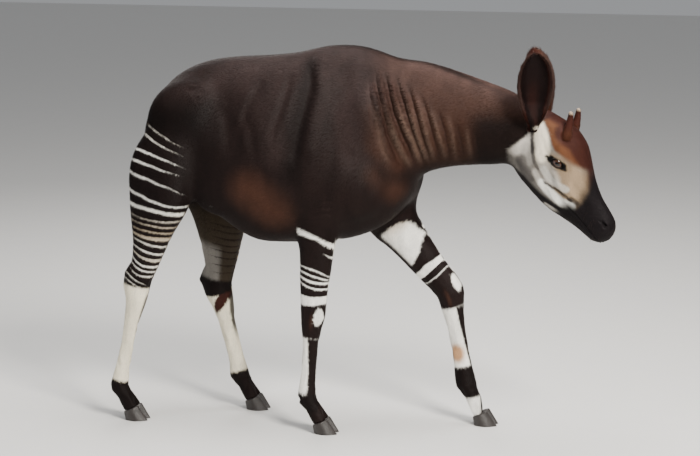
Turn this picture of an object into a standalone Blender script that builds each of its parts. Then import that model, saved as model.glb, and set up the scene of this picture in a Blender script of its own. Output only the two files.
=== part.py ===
"""Okapi, life size, walking slowly with its neck held level and its head lowered.

Metres, +Z up. The head points along +X, the animal's left side is +Y, and the hooves stand on z = 0.
The body is lofted and joined whole, smoothed, and then parted with thin cuts into its named pieces.
"""
import math
import random

import bmesh
import bpy
import numpy as np
from mathutils import Euler, Matrix, Vector

# Driving dimensions of the animal, in metres.
WITHERS_HEIGHT = 1.508
LEG_SPREAD = 0.135
HEAD_LENGTH = 0.515
HEAD_PITCH = math.radians(55)
HEAD_YAW = math.radians(8)
EYEBALL_RADIUS = 0.025
EAR_LENGTH = 0.285
EAR_WIDTH = 0.135
TAIL_LENGTH = 0.40
FETLOCK_HEIGHT = 0.135
HOOF_LENGTH = 0.093
HOOF_WIDTH = 0.041
TOE_SPACING = 0.0225
FAR_LEG_THICKER = 1.15

# How the pieces are made and parted.
CUT = 0.0003
VOXEL = 0.0055
FLESH_TRIANGLES = 7900
TRUNK_FINENESS = 0.45
LEG_FINENESS = 0.62
HEAD_FINENESS = 0.91
LOCKS_IN_TUFT = 20
RING_POINTS = 28
SEED = 11
FOLDS = 5

# Trunk: upright sections from the rump to the chest. Each row is the place along the body, the height
# of the back, of the belly and of the widest part, half the width, and how far the back narrows.
TRUNK = (
    (-0.782, 1.205, 1.110, 1.160, 0.030, 0.00),
    (-0.762, 1.275, 1.030, 1.150, 0.085, 0.05),
    (-0.715, 1.350, 0.975, 1.145, 0.135, 0.10),
    (-0.640, 1.403, 0.930, 1.130, 0.172, 0.18),
    (-0.550, 1.435, 0.850, 1.110, 0.195, 0.22),
    (-0.440, 1.451, 0.765, 1.080, 0.213, 0.22),
    (-0.330, 1.458, 0.724, 1.050, 0.226, 0.20),
    (-0.200, 1.473, 0.728, 1.040, 0.232, 0.22),
    (-0.090, 1.501, 0.738, 1.050, 0.222, 0.30),
    (0.010, WITHERS_HEIGHT, 0.752, 1.070, 0.205, 0.42),
    (0.100, 1.494, 0.785, 1.090, 0.190, 0.42),
    (0.170, 1.465, 0.830, 1.100, 0.170, 0.36),
    (0.230, 1.440, 0.895, 1.110, 0.140, 0.30),
    (0.270, 1.400, 0.960, 1.120, 0.090, 0.20),
)

# Neck: the same rows, with the sideways place of the middle as a last value.
NECK = (
    (0.020, 1.470, 0.930, 1.180, 0.130, 0.40, 0.000),
    (0.110, 1.488, 0.930, 1.190, 0.140, 0.42, 0.000),
    (0.200, 1.462, 0.960, 1.190, 0.132, 0.40, 0.000),
    (0.290, 1.456, 1.010, 1.195, 0.116, 0.38, -0.003),
    (0.380, 1.436, 1.040, 1.200, 0.102, 0.36, -0.010),
    (0.470, 1.410, 1.053, 1.200, 0.091, 0.34, -0.020),
    (0.560, 1.382, 1.060, 1.200, 0.083, 0.30, -0.033),
    (0.640, 1.351, 1.075, 1.198, 0.078, 0.26, -0.045),
    (0.700, 1.308, 1.100, 1.195, 0.066, 0.20, -0.054),
    (0.745, 1.265, 1.140, 1.190, 0.045, 0.10, -0.060),
)

# Head, in its own frame: the place from the poll to the nose, the line of the forehead and of the jaw,
# the height of the widest part, half the width, how far the jaw narrows, and squareness of the jaw.
HEAD_ORIGIN = Vector((0.727, -0.055, 1.235))
HEAD = (
    (-0.035, 0.045, -0.060, 0.000, 0.035, 0.10, 2.2),
    (-0.010, 0.066, -0.115, -0.004, 0.062, 0.20, 2.3),
    (0.030, 0.088, -0.155, -0.004, 0.073, 0.30, 2.4),
    (0.080, 0.112, -0.173, 0.000, 0.080, 0.38, 2.5),
    (0.125, 0.123, -0.173, 0.004, 0.086, 0.42, 2.6),
    (0.175, 0.121, -0.165, 0.004, 0.084, 0.44, 2.6),
    (0.235, 0.100, -0.156, -0.010, 0.071, 0.42, 2.5),
    (0.300, 0.075, -0.139, -0.022, 0.058, 0.34, 2.4),
    (0.360, 0.061, -0.110, -0.020, 0.049, 0.24, 2.3),
    (0.415, 0.057, -0.086, -0.014, 0.046, 0.18, 2.3),
    (0.455, 0.055, -0.074, -0.008, 0.045, 0.18, 2.2),
    (0.485, 0.044, -0.063, -0.006, 0.038, 0.15, 2.2),
    (0.505, 0.022, -0.043, -0.006, 0.024, 0.10, 2.0),
    (HEAD_LENGTH, -0.002, -0.014, -0.006, 0.006, 0.00, 2.0),
)

# Legs: the joints from the top down, at the height they have in the pose.
HIND_JOINTS = {
    "right": ((-0.660, 1.150), (-0.665, 0.880), (-0.830, 0.545), (-0.915, FETLOCK_HEIGHT)),
    "left": ((-0.610, 1.150), (-0.490, 0.865), (-0.586, 0.487), (-0.490, FETLOCK_HEIGHT)),
}
FORE_JOINTS = {
    "right": ((0.110, 1.060), (-0.100, 0.850), (-0.115, 0.470), (-0.137, FETLOCK_HEIGHT)),
    "left": ((0.190, 1.040), (0.115, 0.820), (0.371, 0.532), (0.447, 0.155)),
}
# Each row is the bone, how far along it, and the flesh before, behind and to each side of it.
HIND_FLESH = (
    (0, 0.00, 0.110, 0.138, 0.070),
    (0, 0.35, 0.105, 0.186, 0.088),
    (0, 0.70, 0.080, 0.198, 0.086),
    (1, 0.00, 0.058, 0.202, 0.078),
    (1, 0.18, 0.050, 0.186, 0.070),
    (1, 0.36, 0.047, 0.150, 0.060),
    (1, 0.60, 0.046, 0.096, 0.046),
    (1, 0.79, 0.045, 0.064, 0.037),
    (1, 0.93, 0.048, 0.058, 0.040),
    (2, 0.02, 0.053, 0.050, 0.043),
    (2, 0.15, 0.048, 0.036, 0.038),
    (2, 0.36, 0.034, 0.028, 0.028),
    (2, 0.60, 0.031, 0.026, 0.0245),
    (2, 0.82, 0.030, 0.029, 0.026),
    (2, 1.00, 0.036, 0.040, 0.034),
)
FORE_FLESH = (
    (0, 0.00, 0.080, 0.080, 0.055),
    (0, 0.55, 0.085, 0.110, 0.066),
    (1, 0.02, 0.096, 0.090, 0.062),
    (1, 0.20, 0.090, 0.074, 0.058),
    (1, 0.46, 0.074, 0.062, 0.048),
    (1, 0.72, 0.059, 0.054, 0.041),
    (1, 0.93, 0.053, 0.049, 0.042),
    (2, 0.02, 0.051, 0.048, 0.043),
    (2, 0.13, 0.042, 0.044, 0.037),
    (2, 0.34, 0.031, 0.035, 0.027),
    (2, 0.62, 0.028, 0.034, 0.0245),
    (2, 0.84, 0.029, 0.038, 0.027),
    (2, 1.00, 0.035, 0.043, 0.034),
)

# Muscles: the middle on the left side, the radii, the lean, and how far each follows the left foreleg.
LEFT_LEG_LEAD = 0.035
MUSCLES = (
    ("shoulder", (0.060, 0.092, 1.150), (0.135, 0.098, 0.220), 0.30, 1.0),
    ("upper_arm", (0.030, 0.125, 0.990), (0.155, 0.080, 0.150), 0.50, 2.0),
    ("breast", (0.165, 0.070, 0.985), (0.075, 0.070, 0.100), 0.0, 1.0),
    ("haunch", (-0.610, 0.100, 1.200), (0.185, 0.095, 0.170), -0.35, 0.0),
    ("flank", (-0.480, 0.115, 0.990), (0.120, 0.080, 0.160), 0.35, 0.0),
)

# Hooves, from the fetlock: how far forward the foot stands, and its coronet.
FOOT_FORWARD = 0.066
CORONET_HEIGHT = 0.047
CORONET_BACK = 0.012
CORONET_TILT = math.radians(24)
CORONET_LENGTH = 0.058

SIDES = ((-1, "right"), (1, "left"))

# Eyes and mouth, in the head's own frame.
EYE_PLACE = (0.171, 0.0625, 0.006)
LID_THICKNESS = 0.0035
EYE_OPENING = 0.058
MOUTH_LINE = 0.0024
MOUTH = ((0.318, -0.064), (0.345, -0.056), (0.380, -0.049), (0.420, -0.044), (0.460, -0.041), (0.530, -0.034))
LIP_DEPTH = 0.006
NOSTRIL = (0.458, 0.0365, 0.020)

# Ears: along the ear, half the width, the bulge of the back and the depth of the cup, as shares of the
# width. At the root the cup is filled, so that the section is a full oval.
EAR = (
    (0.00, 0.150, 0.150, -0.140),
    (0.08, 0.200, 0.185, -0.120),
    (0.16, 0.285, 0.230, 0.020),
    (0.28, 0.390, 0.270, 0.205),
    (0.42, 0.465, 0.285, 0.240),
    (0.58, 0.500, 0.255, 0.212),
    (0.72, 0.470, 0.205, 0.166),
    (0.84, 0.385, 0.145, 0.110),
    (0.93, 0.250, 0.080, 0.052),
    (1.00, 0.050, 0.026, 0.006),
)
EAR_POINTS = 9
EAR_BASE = (0.012, 0.064, 0.004)
EAR_BEND = 0.016
EAR_POSE = {
    "right": ((0.030, -0.250, 0.970), (0.45, -0.85, -0.20)),
    "left": ((-0.200, 0.280, 0.935), (0.45, 0.85, 0.10)),
}

# The short horns, in the head's own frame, and their radii from the base to the bare tip.
HORN_BASE = (0.108, 0.047, 0.082)
HORN_TIP = (0.040, 0.053, 0.152)
HORN = ((0.0, 0.0185), (0.30, 0.0165), (0.60, 0.0122), (0.86, 0.0088),
        (0.865, 0.0086), (0.93, 0.0088), (1.0, 0.0040))

TAIL_ROOT = 0.045
TAIL_RADII = (0.0255, 0.0141, 0.0121)
TUFT_LENGTH = 0.165

# The cuts between the nodes of flesh: two points of the cut, seen from the side, the way to the far end
# of the node, and its reach from side to side.
REGIONS = {
    "head": (((0.585, 1.000), (0.715, 1.400)), (0.60, -0.45), -0.35, 0.25),
    "neck": (((0.325, 0.880), (0.105, 1.600)), (0.0, 0.0), -0.30, 0.30),
    "hindleg_right": (((-1.050, 1.060), (-0.520, 0.810)), (0.0, -1.20), -0.40, -0.006),
    "hindleg_left": (((-0.900, 0.950), (-0.380, 0.730)), (0.0, -1.10), 0.006, 0.40),
    "foreleg_right": (((-0.225, 0.757), (0.025, 0.741)), (0.0, -0.90), -0.40, -0.068),
    "foreleg_left": (((-0.010, 0.714), (0.420, 0.964)), (0.10, -1.10), 0.045, 0.40),
}

FINISHES = (
    ("eye", "eye"), ("ear", "ear"), ("ossicone_tip", "horn"), ("ossicone", "coat"), ("hoof", "hoof"),
    ("tail_tuft", "tuft"), ("tail", "coat"), ("head", "face"), ("foreleg", "leg"), ("hindleg", "leg"),
    ("neck", "coat"), ("torso", "coat"),
)

COLOURS = {
    "coat": ((0.030, 0.014, 0.010), 0.55),
    "face": ((0.360, 0.300, 0.260), 0.65),
    "leg": ((0.520, 0.460, 0.400), 0.65),
    "ear": ((0.045, 0.016, 0.014), 0.70),
    "eye": ((0.010, 0.007, 0.006), 0.08),
    "hoof": ((0.045, 0.036, 0.032), 0.42),
    "horn": ((0.420, 0.350, 0.270), 0.35),
    "tuft": ((0.016, 0.010, 0.009), 0.60),
}


def clear_scene():
    for old in list(bpy.data.objects):
        bpy.data.objects.remove(old, do_unlink=True)


def new_collection(name):
    collection = bpy.data.collections.new(name)
    bpy.context.scene.collection.children.link(collection)
    return collection


def principled(name, node):
    colour, roughness = COLOURS[name]
    material = bpy.data.materials.new("okapi_" + node)
    material.use_nodes = True
    shader = material.node_tree.nodes["Principled BSDF"]
    shader.inputs["Base Color"].default_value = (*colour, 1.0)
    shader.inputs["Roughness"].default_value = roughness
    shader.inputs["Metallic"].default_value = 0.0
    material.diffuse_color = (*colour, 1.0)
    return material


def new_object(name, mesh):
    piece = bpy.data.objects.new(name, mesh)
    WORK.objects.link(piece)
    return piece


def piece_from(name, shape):
    """Turn a bmesh into an object of the working collection."""
    mesh = bpy.data.meshes.new(name)
    shape.to_mesh(mesh)
    shape.free()
    return new_object(name, mesh)


def discard(piece):
    mesh = piece.data
    bpy.data.objects.remove(piece, do_unlink=True)
    bpy.data.meshes.remove(mesh)


def settle(piece):
    """Apply all the modifiers of a piece."""
    seen = piece.evaluated_get(bpy.context.evaluated_depsgraph_get())
    mesh = bpy.data.meshes.new_from_object(seen)
    old = piece.data
    piece.modifiers.clear()
    piece.data = mesh
    bpy.data.meshes.remove(old)
    return piece


def boolean(piece, others, operation, solver="EXACT"):
    """Join others to a piece, cut them out of it or keep what they share, and remove them."""
    group = bpy.data.collections.new("boolean")
    bpy.context.scene.collection.children.link(group)
    for other in others:
        group.objects.link(other)
    change = piece.modifiers.new("boolean", "BOOLEAN")
    change.operation = operation
    change.solver = solver
    change.operand_type = "COLLECTION"
    change.collection = group
    settle(piece)
    bpy.data.collections.remove(group)
    for other in others:
        discard(other)
    return piece


def largest_shell(piece):
    """Keep only the largest closed surface of a piece."""
    shape = bmesh.new()
    shape.from_mesh(piece.data)
    left = set(shape.faces)
    shells = []
    while left:
        front = [left.pop()]
        shell = list(front)
        while front:
            face = front.pop()
            for edge in face.edges:
                for near in edge.link_faces:
                    if near in left:
                        left.remove(near)
                        front.append(near)
                        shell.append(near)
        shells.append(shell)
    shells.sort(key=lambda faces: sum(face.calc_area() for face in faces))
    for shell in shells[:-1]:
        bmesh.ops.delete(shape, geom=shell, context="FACES")
    loose = [vertex for vertex in shape.verts if not vertex.link_faces]
    bmesh.ops.delete(shape, geom=loose, context="VERTS")
    shape.to_mesh(piece.data)
    shape.free()
    return piece


def smooth_rows(rows, at):
    """Read a table at new places: its first column is the place, and the curve through it is smooth."""
    table = np.array(rows, float)
    keys = table[:, 0]
    values = table[:, 1:]
    step = np.diff(keys)[:, None]
    slope = np.diff(values, axis=0) / step
    tangent = np.vstack([slope[:1], (slope[1:] + slope[:-1]) / 2, slope[-1:]])
    turning = slope[1:] * slope[:-1] <= 0
    tangent[1:-1][turning] = 0.0
    at = np.array(at, float)
    first = np.clip(np.searchsorted(keys, at, side="right") - 1, 0, len(keys) - 2)
    along = ((at - keys[first]) / step[first, 0])[:, None]
    rest = 1 - along
    return (
        (1 + 2 * along) * rest ** 2 * values[first]
        + along * rest ** 2 * step[first] * tangent[first]
        + along ** 2 * (3 - 2 * along) * values[first + 1]
        - along ** 2 * rest * step[first] * tangent[first + 1]
    )


def section(wide, up, down, square_up, square_down, narrow_up, narrow_down):
    """One closed section, as (sideways, upward) from its widest level."""
    points = []
    for index in range(RING_POINTS):
        turn = 2 * math.pi * (index + 0.5) / RING_POINTS
        sine = math.sin(turn)
        cosine = math.cos(turn)
        if cosine >= 0:
            square, height, narrow = square_up, up, narrow_up
        else:
            square, height, narrow = square_down, -down, narrow_down
        rise = abs(cosine) ** (2 / square)
        reach = math.copysign(abs(sine) ** (2 / square), sine)
        points.append((wide * reach * (1 - narrow * rise), height * rise))
    return points


def loft(name, rings):
    """A closed body through sections of equal count, with a fan over each end."""
    shape = bmesh.new()
    loops = [[shape.verts.new(point) for point in ring] for ring in rings]
    for near, far in zip(loops, loops[1:]):
        for index in range(len(near)):
            other = (index + 1) % len(near)
            shape.faces.new((near[index], near[other], far[other], far[index]))
    for loop in (loops[0], loops[-1]):
        middle = shape.verts.new(sum((vertex.co for vertex in loop), Vector()) / len(loop))
        for index in range(len(loop)):
            shape.faces.new((loop[index], loop[(index + 1) % len(loop)], middle))
    bmesh.ops.recalc_face_normals(shape, faces=shape.faces)
    return piece_from(name, shape)


def ellipsoid(name, centre, radii, turn=(0.0, 0.0, 0.0), segments=20):
    shape = bmesh.new()
    spin = Euler(turn, "XYZ").to_matrix().to_4x4()
    place = Matrix.Translation(centre) @ spin @ Matrix.Diagonal((*radii, 1.0))
    rows = segments // 2 + 2
    bmesh.ops.create_uvsphere(shape, u_segments=segments, v_segments=rows, radius=1.0, matrix=place)
    return piece_from(name, shape)


def box(name, low, high):
    shape = bmesh.new()
    middle = (Vector(low) + Vector(high)) / 2
    size = Vector(high) - Vector(low)
    bmesh.ops.create_cube(shape, size=1.0, matrix=Matrix.Translation(middle) @ Matrix.Diagonal((*size, 1.0)))
    return piece_from(name, shape)


def head_place(along, side, up):
    """A point of the head's own frame in the body's frame."""
    return HEAD_MATRIX @ Vector((along, side, up))


def head_matrix():
    turn = Matrix.Rotation(-HEAD_YAW, 4, "Z") @ Matrix.Rotation(HEAD_PITCH, 4, "Y")
    return Matrix.Translation(HEAD_ORIGIN) @ turn


def body_sections(rows, count, squareness):
    """Upright sections through the trunk or the neck."""
    at = np.linspace(rows[0][0], rows[-1][0], count)
    rings = []
    for x, row in zip(at, smooth_rows(rows, at)):
        back, belly, level, wide, narrow = row[:5]
        middle = row[5] if len(row) > 5 else 0.0
        ring = section(wide, back - level, level - belly, squareness, squareness, narrow, 0.10)
        rings.append([Vector((x, middle + side, level + up)) for side, up in ring])
    return rings


def head_sections(count):
    at = np.linspace(HEAD[0][0], HEAD[-1][0], count)
    rings = []
    for along, row in zip(at, smooth_rows(HEAD, at)):
        top, jaw, level, wide, narrow, square = row
        ring = section(wide, top - level, level - jaw, 2.1, square, 0.12, narrow)
        rings.append([head_place(along, side, level + up) for side, up in ring])
    return rings


def leg_sections(joints, flesh, side, count=44, thick=1.0):
    """Sections square to the line of the bones, down to the fetlock."""
    points = [Vector((x, side * spread_at(z), z)) for x, z in joints]
    reach = [0.0]
    for high, low in zip(points, points[1:]):
        reach.append(reach[-1] + (low - high).length)
    rows = []
    for bone, part, before, behind, beside in flesh:
        place = reach[bone] + part * (reach[bone + 1] - reach[bone])
        point = points[bone].lerp(points[bone + 1], part)
        rows.append((place, *point, before * thick, behind * thick, beside * thick))
    at = np.linspace(rows[0][0], rows[-1][0], count)
    table = smooth_rows(rows, at)
    rings = []
    for index, row in enumerate(table):
        middle = Vector(row[:3])
        before, behind, beside = row[3:]
        high = Vector(table[max(index - 2, 0)][:3])
        low = Vector(table[min(index + 2, count - 1)][:3])
        down = (low - high).normalized()
        across = Vector((0, 1, 0))
        front = across.cross(down).normalized()
        across = down.cross(front)
        if front.x < 0:
            front = -front
        ring = section(beside, before, behind, 2.15, 2.15, 0.10, 0.16)
        rings.append([middle + across * wide + front * up for wide, up in ring])
    return rings


def spread_at(height):
    """The legs stand a little closer at the hooves than at the hip and shoulder."""
    return LEG_SPREAD - 0.012 * max(0.0, 0.6 - height)


def foot_parts(name, fetlock, side):
    """The pastern with its two toes, down to the coronets."""
    rings = []
    across = Vector((0, 1, 0))
    coronet = Vector((fetlock.x + FOOT_FORWARD - CORONET_BACK, fetlock.y, CORONET_HEIGHT))
    parts = []
    shape = ((-0.010, 0.034, 0.038, 0.033), (0.000, 0.035, 0.041, 0.034), (0.020, 0.031, 0.036, 0.032),
             (0.045, 0.028, 0.030, 0.031), (0.070, 0.028, 0.030, 0.034))
    line = (coronet - fetlock).normalized()
    forward = across.cross(line)
    if forward.x < 0:
        forward = -forward
    for place, before, behind, beside in shape:
        middle = fetlock + line * place
        ring = section(beside, before, behind, 2.2, 2.2, 0.05, 0.05)
        rings.append([middle + across * wide + forward * up for wide, up in ring])
    parts.append(loft(name + "_pastern", rings))
    for toe in (-1, 1):
        rings = []
        rows = ((0.35, 0.026, 0.028, 0.017), (0.7, 0.0275, 0.029, 0.0185), (1.0, 0.0275, 0.0285, 0.0185),
                (1.25, 0.026, 0.027, 0.018))
        for part, before, behind, beside in rows:
            middle = fetlock.lerp(coronet, part) + across * toe * TOE_SPACING * min(part + 0.1, 1.0)
            ring = section(beside, before, behind, 2.2, 2.2, 0.0, 0.0)
            rings.append([middle + across * wide + forward * up for wide, up in ring])
        parts.append(loft(name + "_toe", rings))
    return parts


def coronet_frame(fetlock, toe):
    """Centre, forward and upward directions of the plane where a hoof meets its toe."""
    centre = Vector((fetlock.x + FOOT_FORWARD - CORONET_BACK, fetlock.y + toe * TOE_SPACING, CORONET_HEIGHT))
    forward = Vector((math.cos(CORONET_TILT), 0, math.sin(CORONET_TILT)))
    upward = Vector((-math.sin(CORONET_TILT), 0, math.cos(CORONET_TILT)))
    return centre, forward, upward


def hoof_outline(length, width, point):
    """A long rounded outline, drawn to a point at the toe, as (forward, sideways)."""
    count = 14
    outline = []
    for index in range(count):
        turn = 2 * math.pi * (index + 0.5) / count
        forward = math.cos(turn) * length / 2
        taper = 1 - point * max(0.0, math.cos(turn)) ** 1.6
        outline.append((forward, math.sin(turn) * width / 2 * taper))
    return outline


def hoof(name, fetlock, toe):
    """One half of a cloven hoof: flat below, sloped in front, cut off at the coronet."""
    centre, forward, upward = coronet_frame(fetlock, toe)
    ground = Vector((fetlock.x + FOOT_FORWARD + 0.011, fetlock.y + toe * TOE_SPACING, 0.0))
    top = hoof_outline(CORONET_LENGTH + 0.005, HOOF_WIDTH - 0.001, 0.12)
    sole = hoof_outline(HOOF_LENGTH, HOOF_WIDTH, 0.55)
    across = Vector((0, 1, 0))
    inward = across * (-toe * 0.006)
    rings = []
    for part in (0.0, 0.08, 0.5, 0.92, 1.0):
        ring = []
        for (low_x, low_y), (high_x, high_y) in zip(sole, top):
            swell = 0.985 if part in (0.0, 1.0) else 1.0
            low = ground + Vector((low_x * swell, low_y * swell, 0)) + inward * max(0.0, low_x) / 0.05
            high = centre - upward * CUT + forward * high_x * swell + across * high_y * swell
            ring.append(low.lerp(high, part))
        rings.append(ring)
    return loft(name, rings)


def mesh_arrays(piece):
    """Points and edges of a piece as arrays."""
    mesh = piece.data
    count = len(mesh.vertices)
    points = np.empty(count * 3)
    mesh.vertices.foreach_get("co", points)
    edges = np.empty(len(mesh.edges) * 2, dtype=np.int64)
    mesh.edges.foreach_get("vertices", edges)
    return points.reshape(-1, 3), edges.reshape(-1, 2)


def vertex_normals(piece):
    normals = np.empty(len(piece.data.vertices) * 3)
    piece.data.vertices.foreach_get("normal", normals)
    return normals.reshape(-1, 3)


def put_points(piece, points):
    piece.data.vertices.foreach_set("co", points.ravel())
    piece.data.update()


def relax(piece, rounds, weight=None):
    """Even out a surface by moving each point towards the middle of its neighbours."""
    points, edges = mesh_arrays(piece)
    count = len(points)
    ends = np.concatenate([edges[:, 0], edges[:, 1]])
    others = np.concatenate([edges[:, 1], edges[:, 0]])
    number = np.bincount(ends, minlength=count)
    share = np.full(count, 0.5) if weight is None else 0.5 * weight
    for _ in range(rounds):
        for axis in range(3):
            total = np.bincount(ends, points[others, axis], minlength=count)
            points[:, axis] += share * (total / number - points[:, axis])
    put_points(piece, points)


def distance_to_path(points, path):
    """Distance of each point to a broken line."""
    best = np.full(len(points), np.inf)
    path = [np.array(point, float) for point in path]
    if len(path) == 1:
        return np.linalg.norm(points - path[0], axis=1)
    for start, end in zip(path, path[1:]):
        line = end - start
        part = np.clip((points - start) @ line / (line @ line), 0, 1)
        gap = np.linalg.norm(points - start - part[:, None] * line, axis=1)
        best = np.minimum(best, gap)
    return best


def soft_edge(distance, reach):
    near = np.clip(1 - distance / reach, 0, 1)
    return near * near * (3 - 2 * near)


def stroke(piece, path, reach, height):
    """Raise the skin along a path, or sink it where the height is negative."""
    points, _ = mesh_arrays(piece)
    amount = soft_edge(distance_to_path(points, path), reach) * height
    put_points(piece, points + vertex_normals(piece) * amount[:, None])


def on_head(*rows):
    """A path in the head's own frame, on both sides."""
    return [[head_place(along, side * across, up) for along, across, up in rows] for side in (-1, 1)]


def on_sides(*rows):
    """A path beside the body, on both sides."""
    return [[(x, side * y, z) for x, y, z in rows] for side in (-1, 1)]


def muscles():
    """Rounded masses that fill the shoulders, haunches, hocks and cheeks."""
    forms = []
    for side in (-1, 1):
        lead = LEFT_LEG_LEAD if side > 0 else 0.0
        for name, (x, y, z), radii, lean, follow in MUSCLES:
            centre = (x + lead * follow, side * y, z)
            forms.append(ellipsoid(name, centre, radii, (0, lean, 0)))
    return forms


def hock_point(joints, side, thick):
    """The heel bone, standing out behind and above the hock."""
    hock = Vector((joints[2][0], side * spread_at(joints[2][1]), joints[2][1]))
    stifle = Vector((joints[1][0], side * spread_at(joints[1][1]), joints[1][1]))
    fetlock = Vector((joints[3][0], side * spread_at(joints[3][1]), joints[3][1]))
    up = (hock - fetlock).normalized()
    back = Vector((0, 1, 0)).cross(up)
    if back.x > 0:
        back = -back
    high = hock + up * 0.050 + back * 0.036 * thick
    low = hock - up * 0.035 + back * 0.024
    rise = (stifle - hock).normalized()
    tendon = hock + rise * 0.150 + back * 0.048 * thick
    rings = []
    for centre, radius in ((low, 0.022), (hock + back * 0.030, 0.026), (high, 0.024), (tendon, 0.016)):
        rings.append(ring_round(centre, Vector((1.1, 0, 0)), Vector((0, 0.85, 0)), radius, 16))
    return loft("hock_point", rings)


def build_flesh():
    """The whole animal without ears, horns, hooves and tail, as one smooth closed body."""
    forms = [loft("trunk", body_sections(TRUNK, 60, 2.35)), loft("neck", body_sections(NECK, 44, 2.2))]
    forms.append(loft("head", head_sections(70)))
    forms += muscles()
    for side, name in ((-1, "right"), (1, "left")):
        thick = 1.0 if side < 0 else FAR_LEG_THICKER
        forms.append(loft("hind", leg_sections(HIND_JOINTS[name], HIND_FLESH, side, 56, thick)))
        forms.append(hock_point(HIND_JOINTS[name], side, thick))
        forms.append(loft("fore", leg_sections(FORE_JOINTS[name], FORE_FLESH, side, 56, thick)))
        forms += foot_parts("hind_foot", fetlock_of(HIND_JOINTS[name], side), side)
        forms += foot_parts("fore_foot", fetlock_of(FORE_JOINTS[name], side), side)
    forms.append(loft("dock", tail_sections(0.0, 0.10, 1.25)))
    body = join_as_one(forms)
    change = body.modifiers.new("remesh", "REMESH")
    change.mode = "VOXEL"
    change.voxel_size = VOXEL
    change.adaptivity = 0.0
    settle(body)
    shape_skin(body)
    return body


def ring_round(middle, first, second, radius, count):
    """A round section about a middle, in the plane of two directions."""
    turns = np.linspace(0, 2 * math.pi, count, endpoint=False)
    return [middle + first * math.cos(turn) * radius + second * math.sin(turn) * radius for turn in turns]


def join_as_one(forms):
    """Put overlapping forms into one object, for the remesh to fuse."""
    shape = bmesh.new()
    for form in forms:
        shape.from_mesh(form.data)
        discard(form)
    return piece_from("flesh", shape)


def fetlock_of(joints, side):
    x, z = joints[3]
    return Vector((x, side * spread_at(z), z))


def tail_line():
    """Points down the middle of the tail, hanging close behind the rump."""
    return ((0.00, -0.700, 0.000, 1.290), (0.06, -0.758, 0.000, 1.262), (0.14, -0.802, 0.006, 1.200),
            (0.26, -0.834, 0.020, 1.085), (TAIL_LENGTH, -0.846, 0.034, 0.945))


def tail_sections(start, end, thick):
    at = np.linspace(start, end, 14)
    table = smooth_rows(tail_line(), at)
    rings = []
    for index, (place, row) in enumerate(zip(at, table)):
        before = table[max(index - 1, 0)]
        after = table[min(index + 1, len(table) - 1)]
        down = Vector(after - before).normalized()
        across = Vector((0, 1, 0))
        back = across.cross(down).normalized()
        radius = np.interp(place, (0.0, 0.3, TAIL_LENGTH), TAIL_RADII) * thick
        rings.append(ring_round(Vector(row), across, back * 0.9, radius, 14))
    return rings


def shape_skin(body):
    """Soften the joins, then raise and sink the forms that lie under the skin."""
    points, _ = mesh_arrays(body)
    trunk_only = np.clip((points[:, 2] - 0.62) / 0.12, 0, 1)
    head_side = np.clip((points[:, 0] - 0.60) / 0.08, 0, 1)
    relax(body, 110, trunk_only * (1 - head_side))
    relax(body, 5)
    for path in on_sides((-0.555, 0.150, 1.345), (-0.530, 0.175, 1.310)):
        stroke(body, path, 0.070, 0.009)
    for path in on_sides((-0.450, 0.200, 1.270), (-0.420, 0.210, 1.180)):
        stroke(body, path, 0.120, -0.010)
    for path in on_sides((-0.120, 0.190, 1.400), (-0.160, 0.215, 1.200), (-0.185, 0.210, 1.000)):
        stroke(body, path, 0.085, -0.009)
    for path in on_sides((0.060, 0.090, 1.420), (0.120, 0.150, 1.240), (0.190, 0.150, 1.040)):
        stroke(body, path, 0.070, 0.006)
    for fold in range(FOLDS):
        x = 0.185 + 0.034 * fold
        for path in on_sides((x, 0.120, 1.370), (x + 0.015, 0.130, 1.250), (x + 0.060, 0.100, 1.120)):
            stroke(body, path, 0.019, 0.0045)
    for path in on_head((0.060, 0.062, -0.110), (0.140, 0.058, -0.110), (0.185, 0.052, -0.095)):
        stroke(body, path, 0.070, 0.005)
    for path in on_head((0.120, 0.075, 0.042), (0.155, 0.082, 0.046), (0.195, 0.072, 0.040)):
        stroke(body, path, 0.036, 0.007)
    for path in on_head((0.205, 0.066, -0.020), (0.300, 0.055, -0.034)):
        stroke(body, path, 0.030, 0.003)
    for path in on_head((0.240, 0.055, 0.030), (0.320, 0.045, 0.012)):
        stroke(body, path, 0.036, -0.004)
    for path in on_head((0.455, 0.036, 0.020), (0.475, 0.032, 0.012)):
        stroke(body, path, 0.024, 0.004)
    relax(body, 3)


def thin_out(body):
    """Bring the flesh down to its share of triangles, keeping the head finest and then the legs."""
    points, _ = mesh_arrays(body)
    head = np.clip((points[:, 0] - 0.62) / 0.06, 0, 1)
    leg = np.clip((0.80 - points[:, 2]) / 0.10, 0, 1)
    fineness = TRUNK_FINENESS + (HEAD_FINENESS - TRUNK_FINENESS) * head
    fineness += (LEG_FINENESS - TRUNK_FINENESS) * leg
    fineness = np.round(fineness, 2)
    group = body.vertex_groups.new(name="fineness")
    for level in np.unique(fineness):
        group.add(np.nonzero(fineness == level)[0].tolist(), float(level), "REPLACE")
    change = body.modifiers.new("decimate", "DECIMATE")
    change.ratio = FLESH_TRIANGLES / (2 * len(body.data.polygons))
    change.use_collapse_triangulate = True
    change.vertex_group = "fineness"
    change.invert_vertex_group = True
    change.vertex_group_factor = 1.0
    settle(body)
    body.vertex_groups.clear()


def grown(piece, name, gap=CUT):
    """A copy of a piece that is larger by a gap all round."""
    copy = new_object(name, piece.data.copy())
    points, _ = mesh_arrays(copy)
    put_points(copy, points + vertex_normals(copy) * gap)
    return copy


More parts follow.
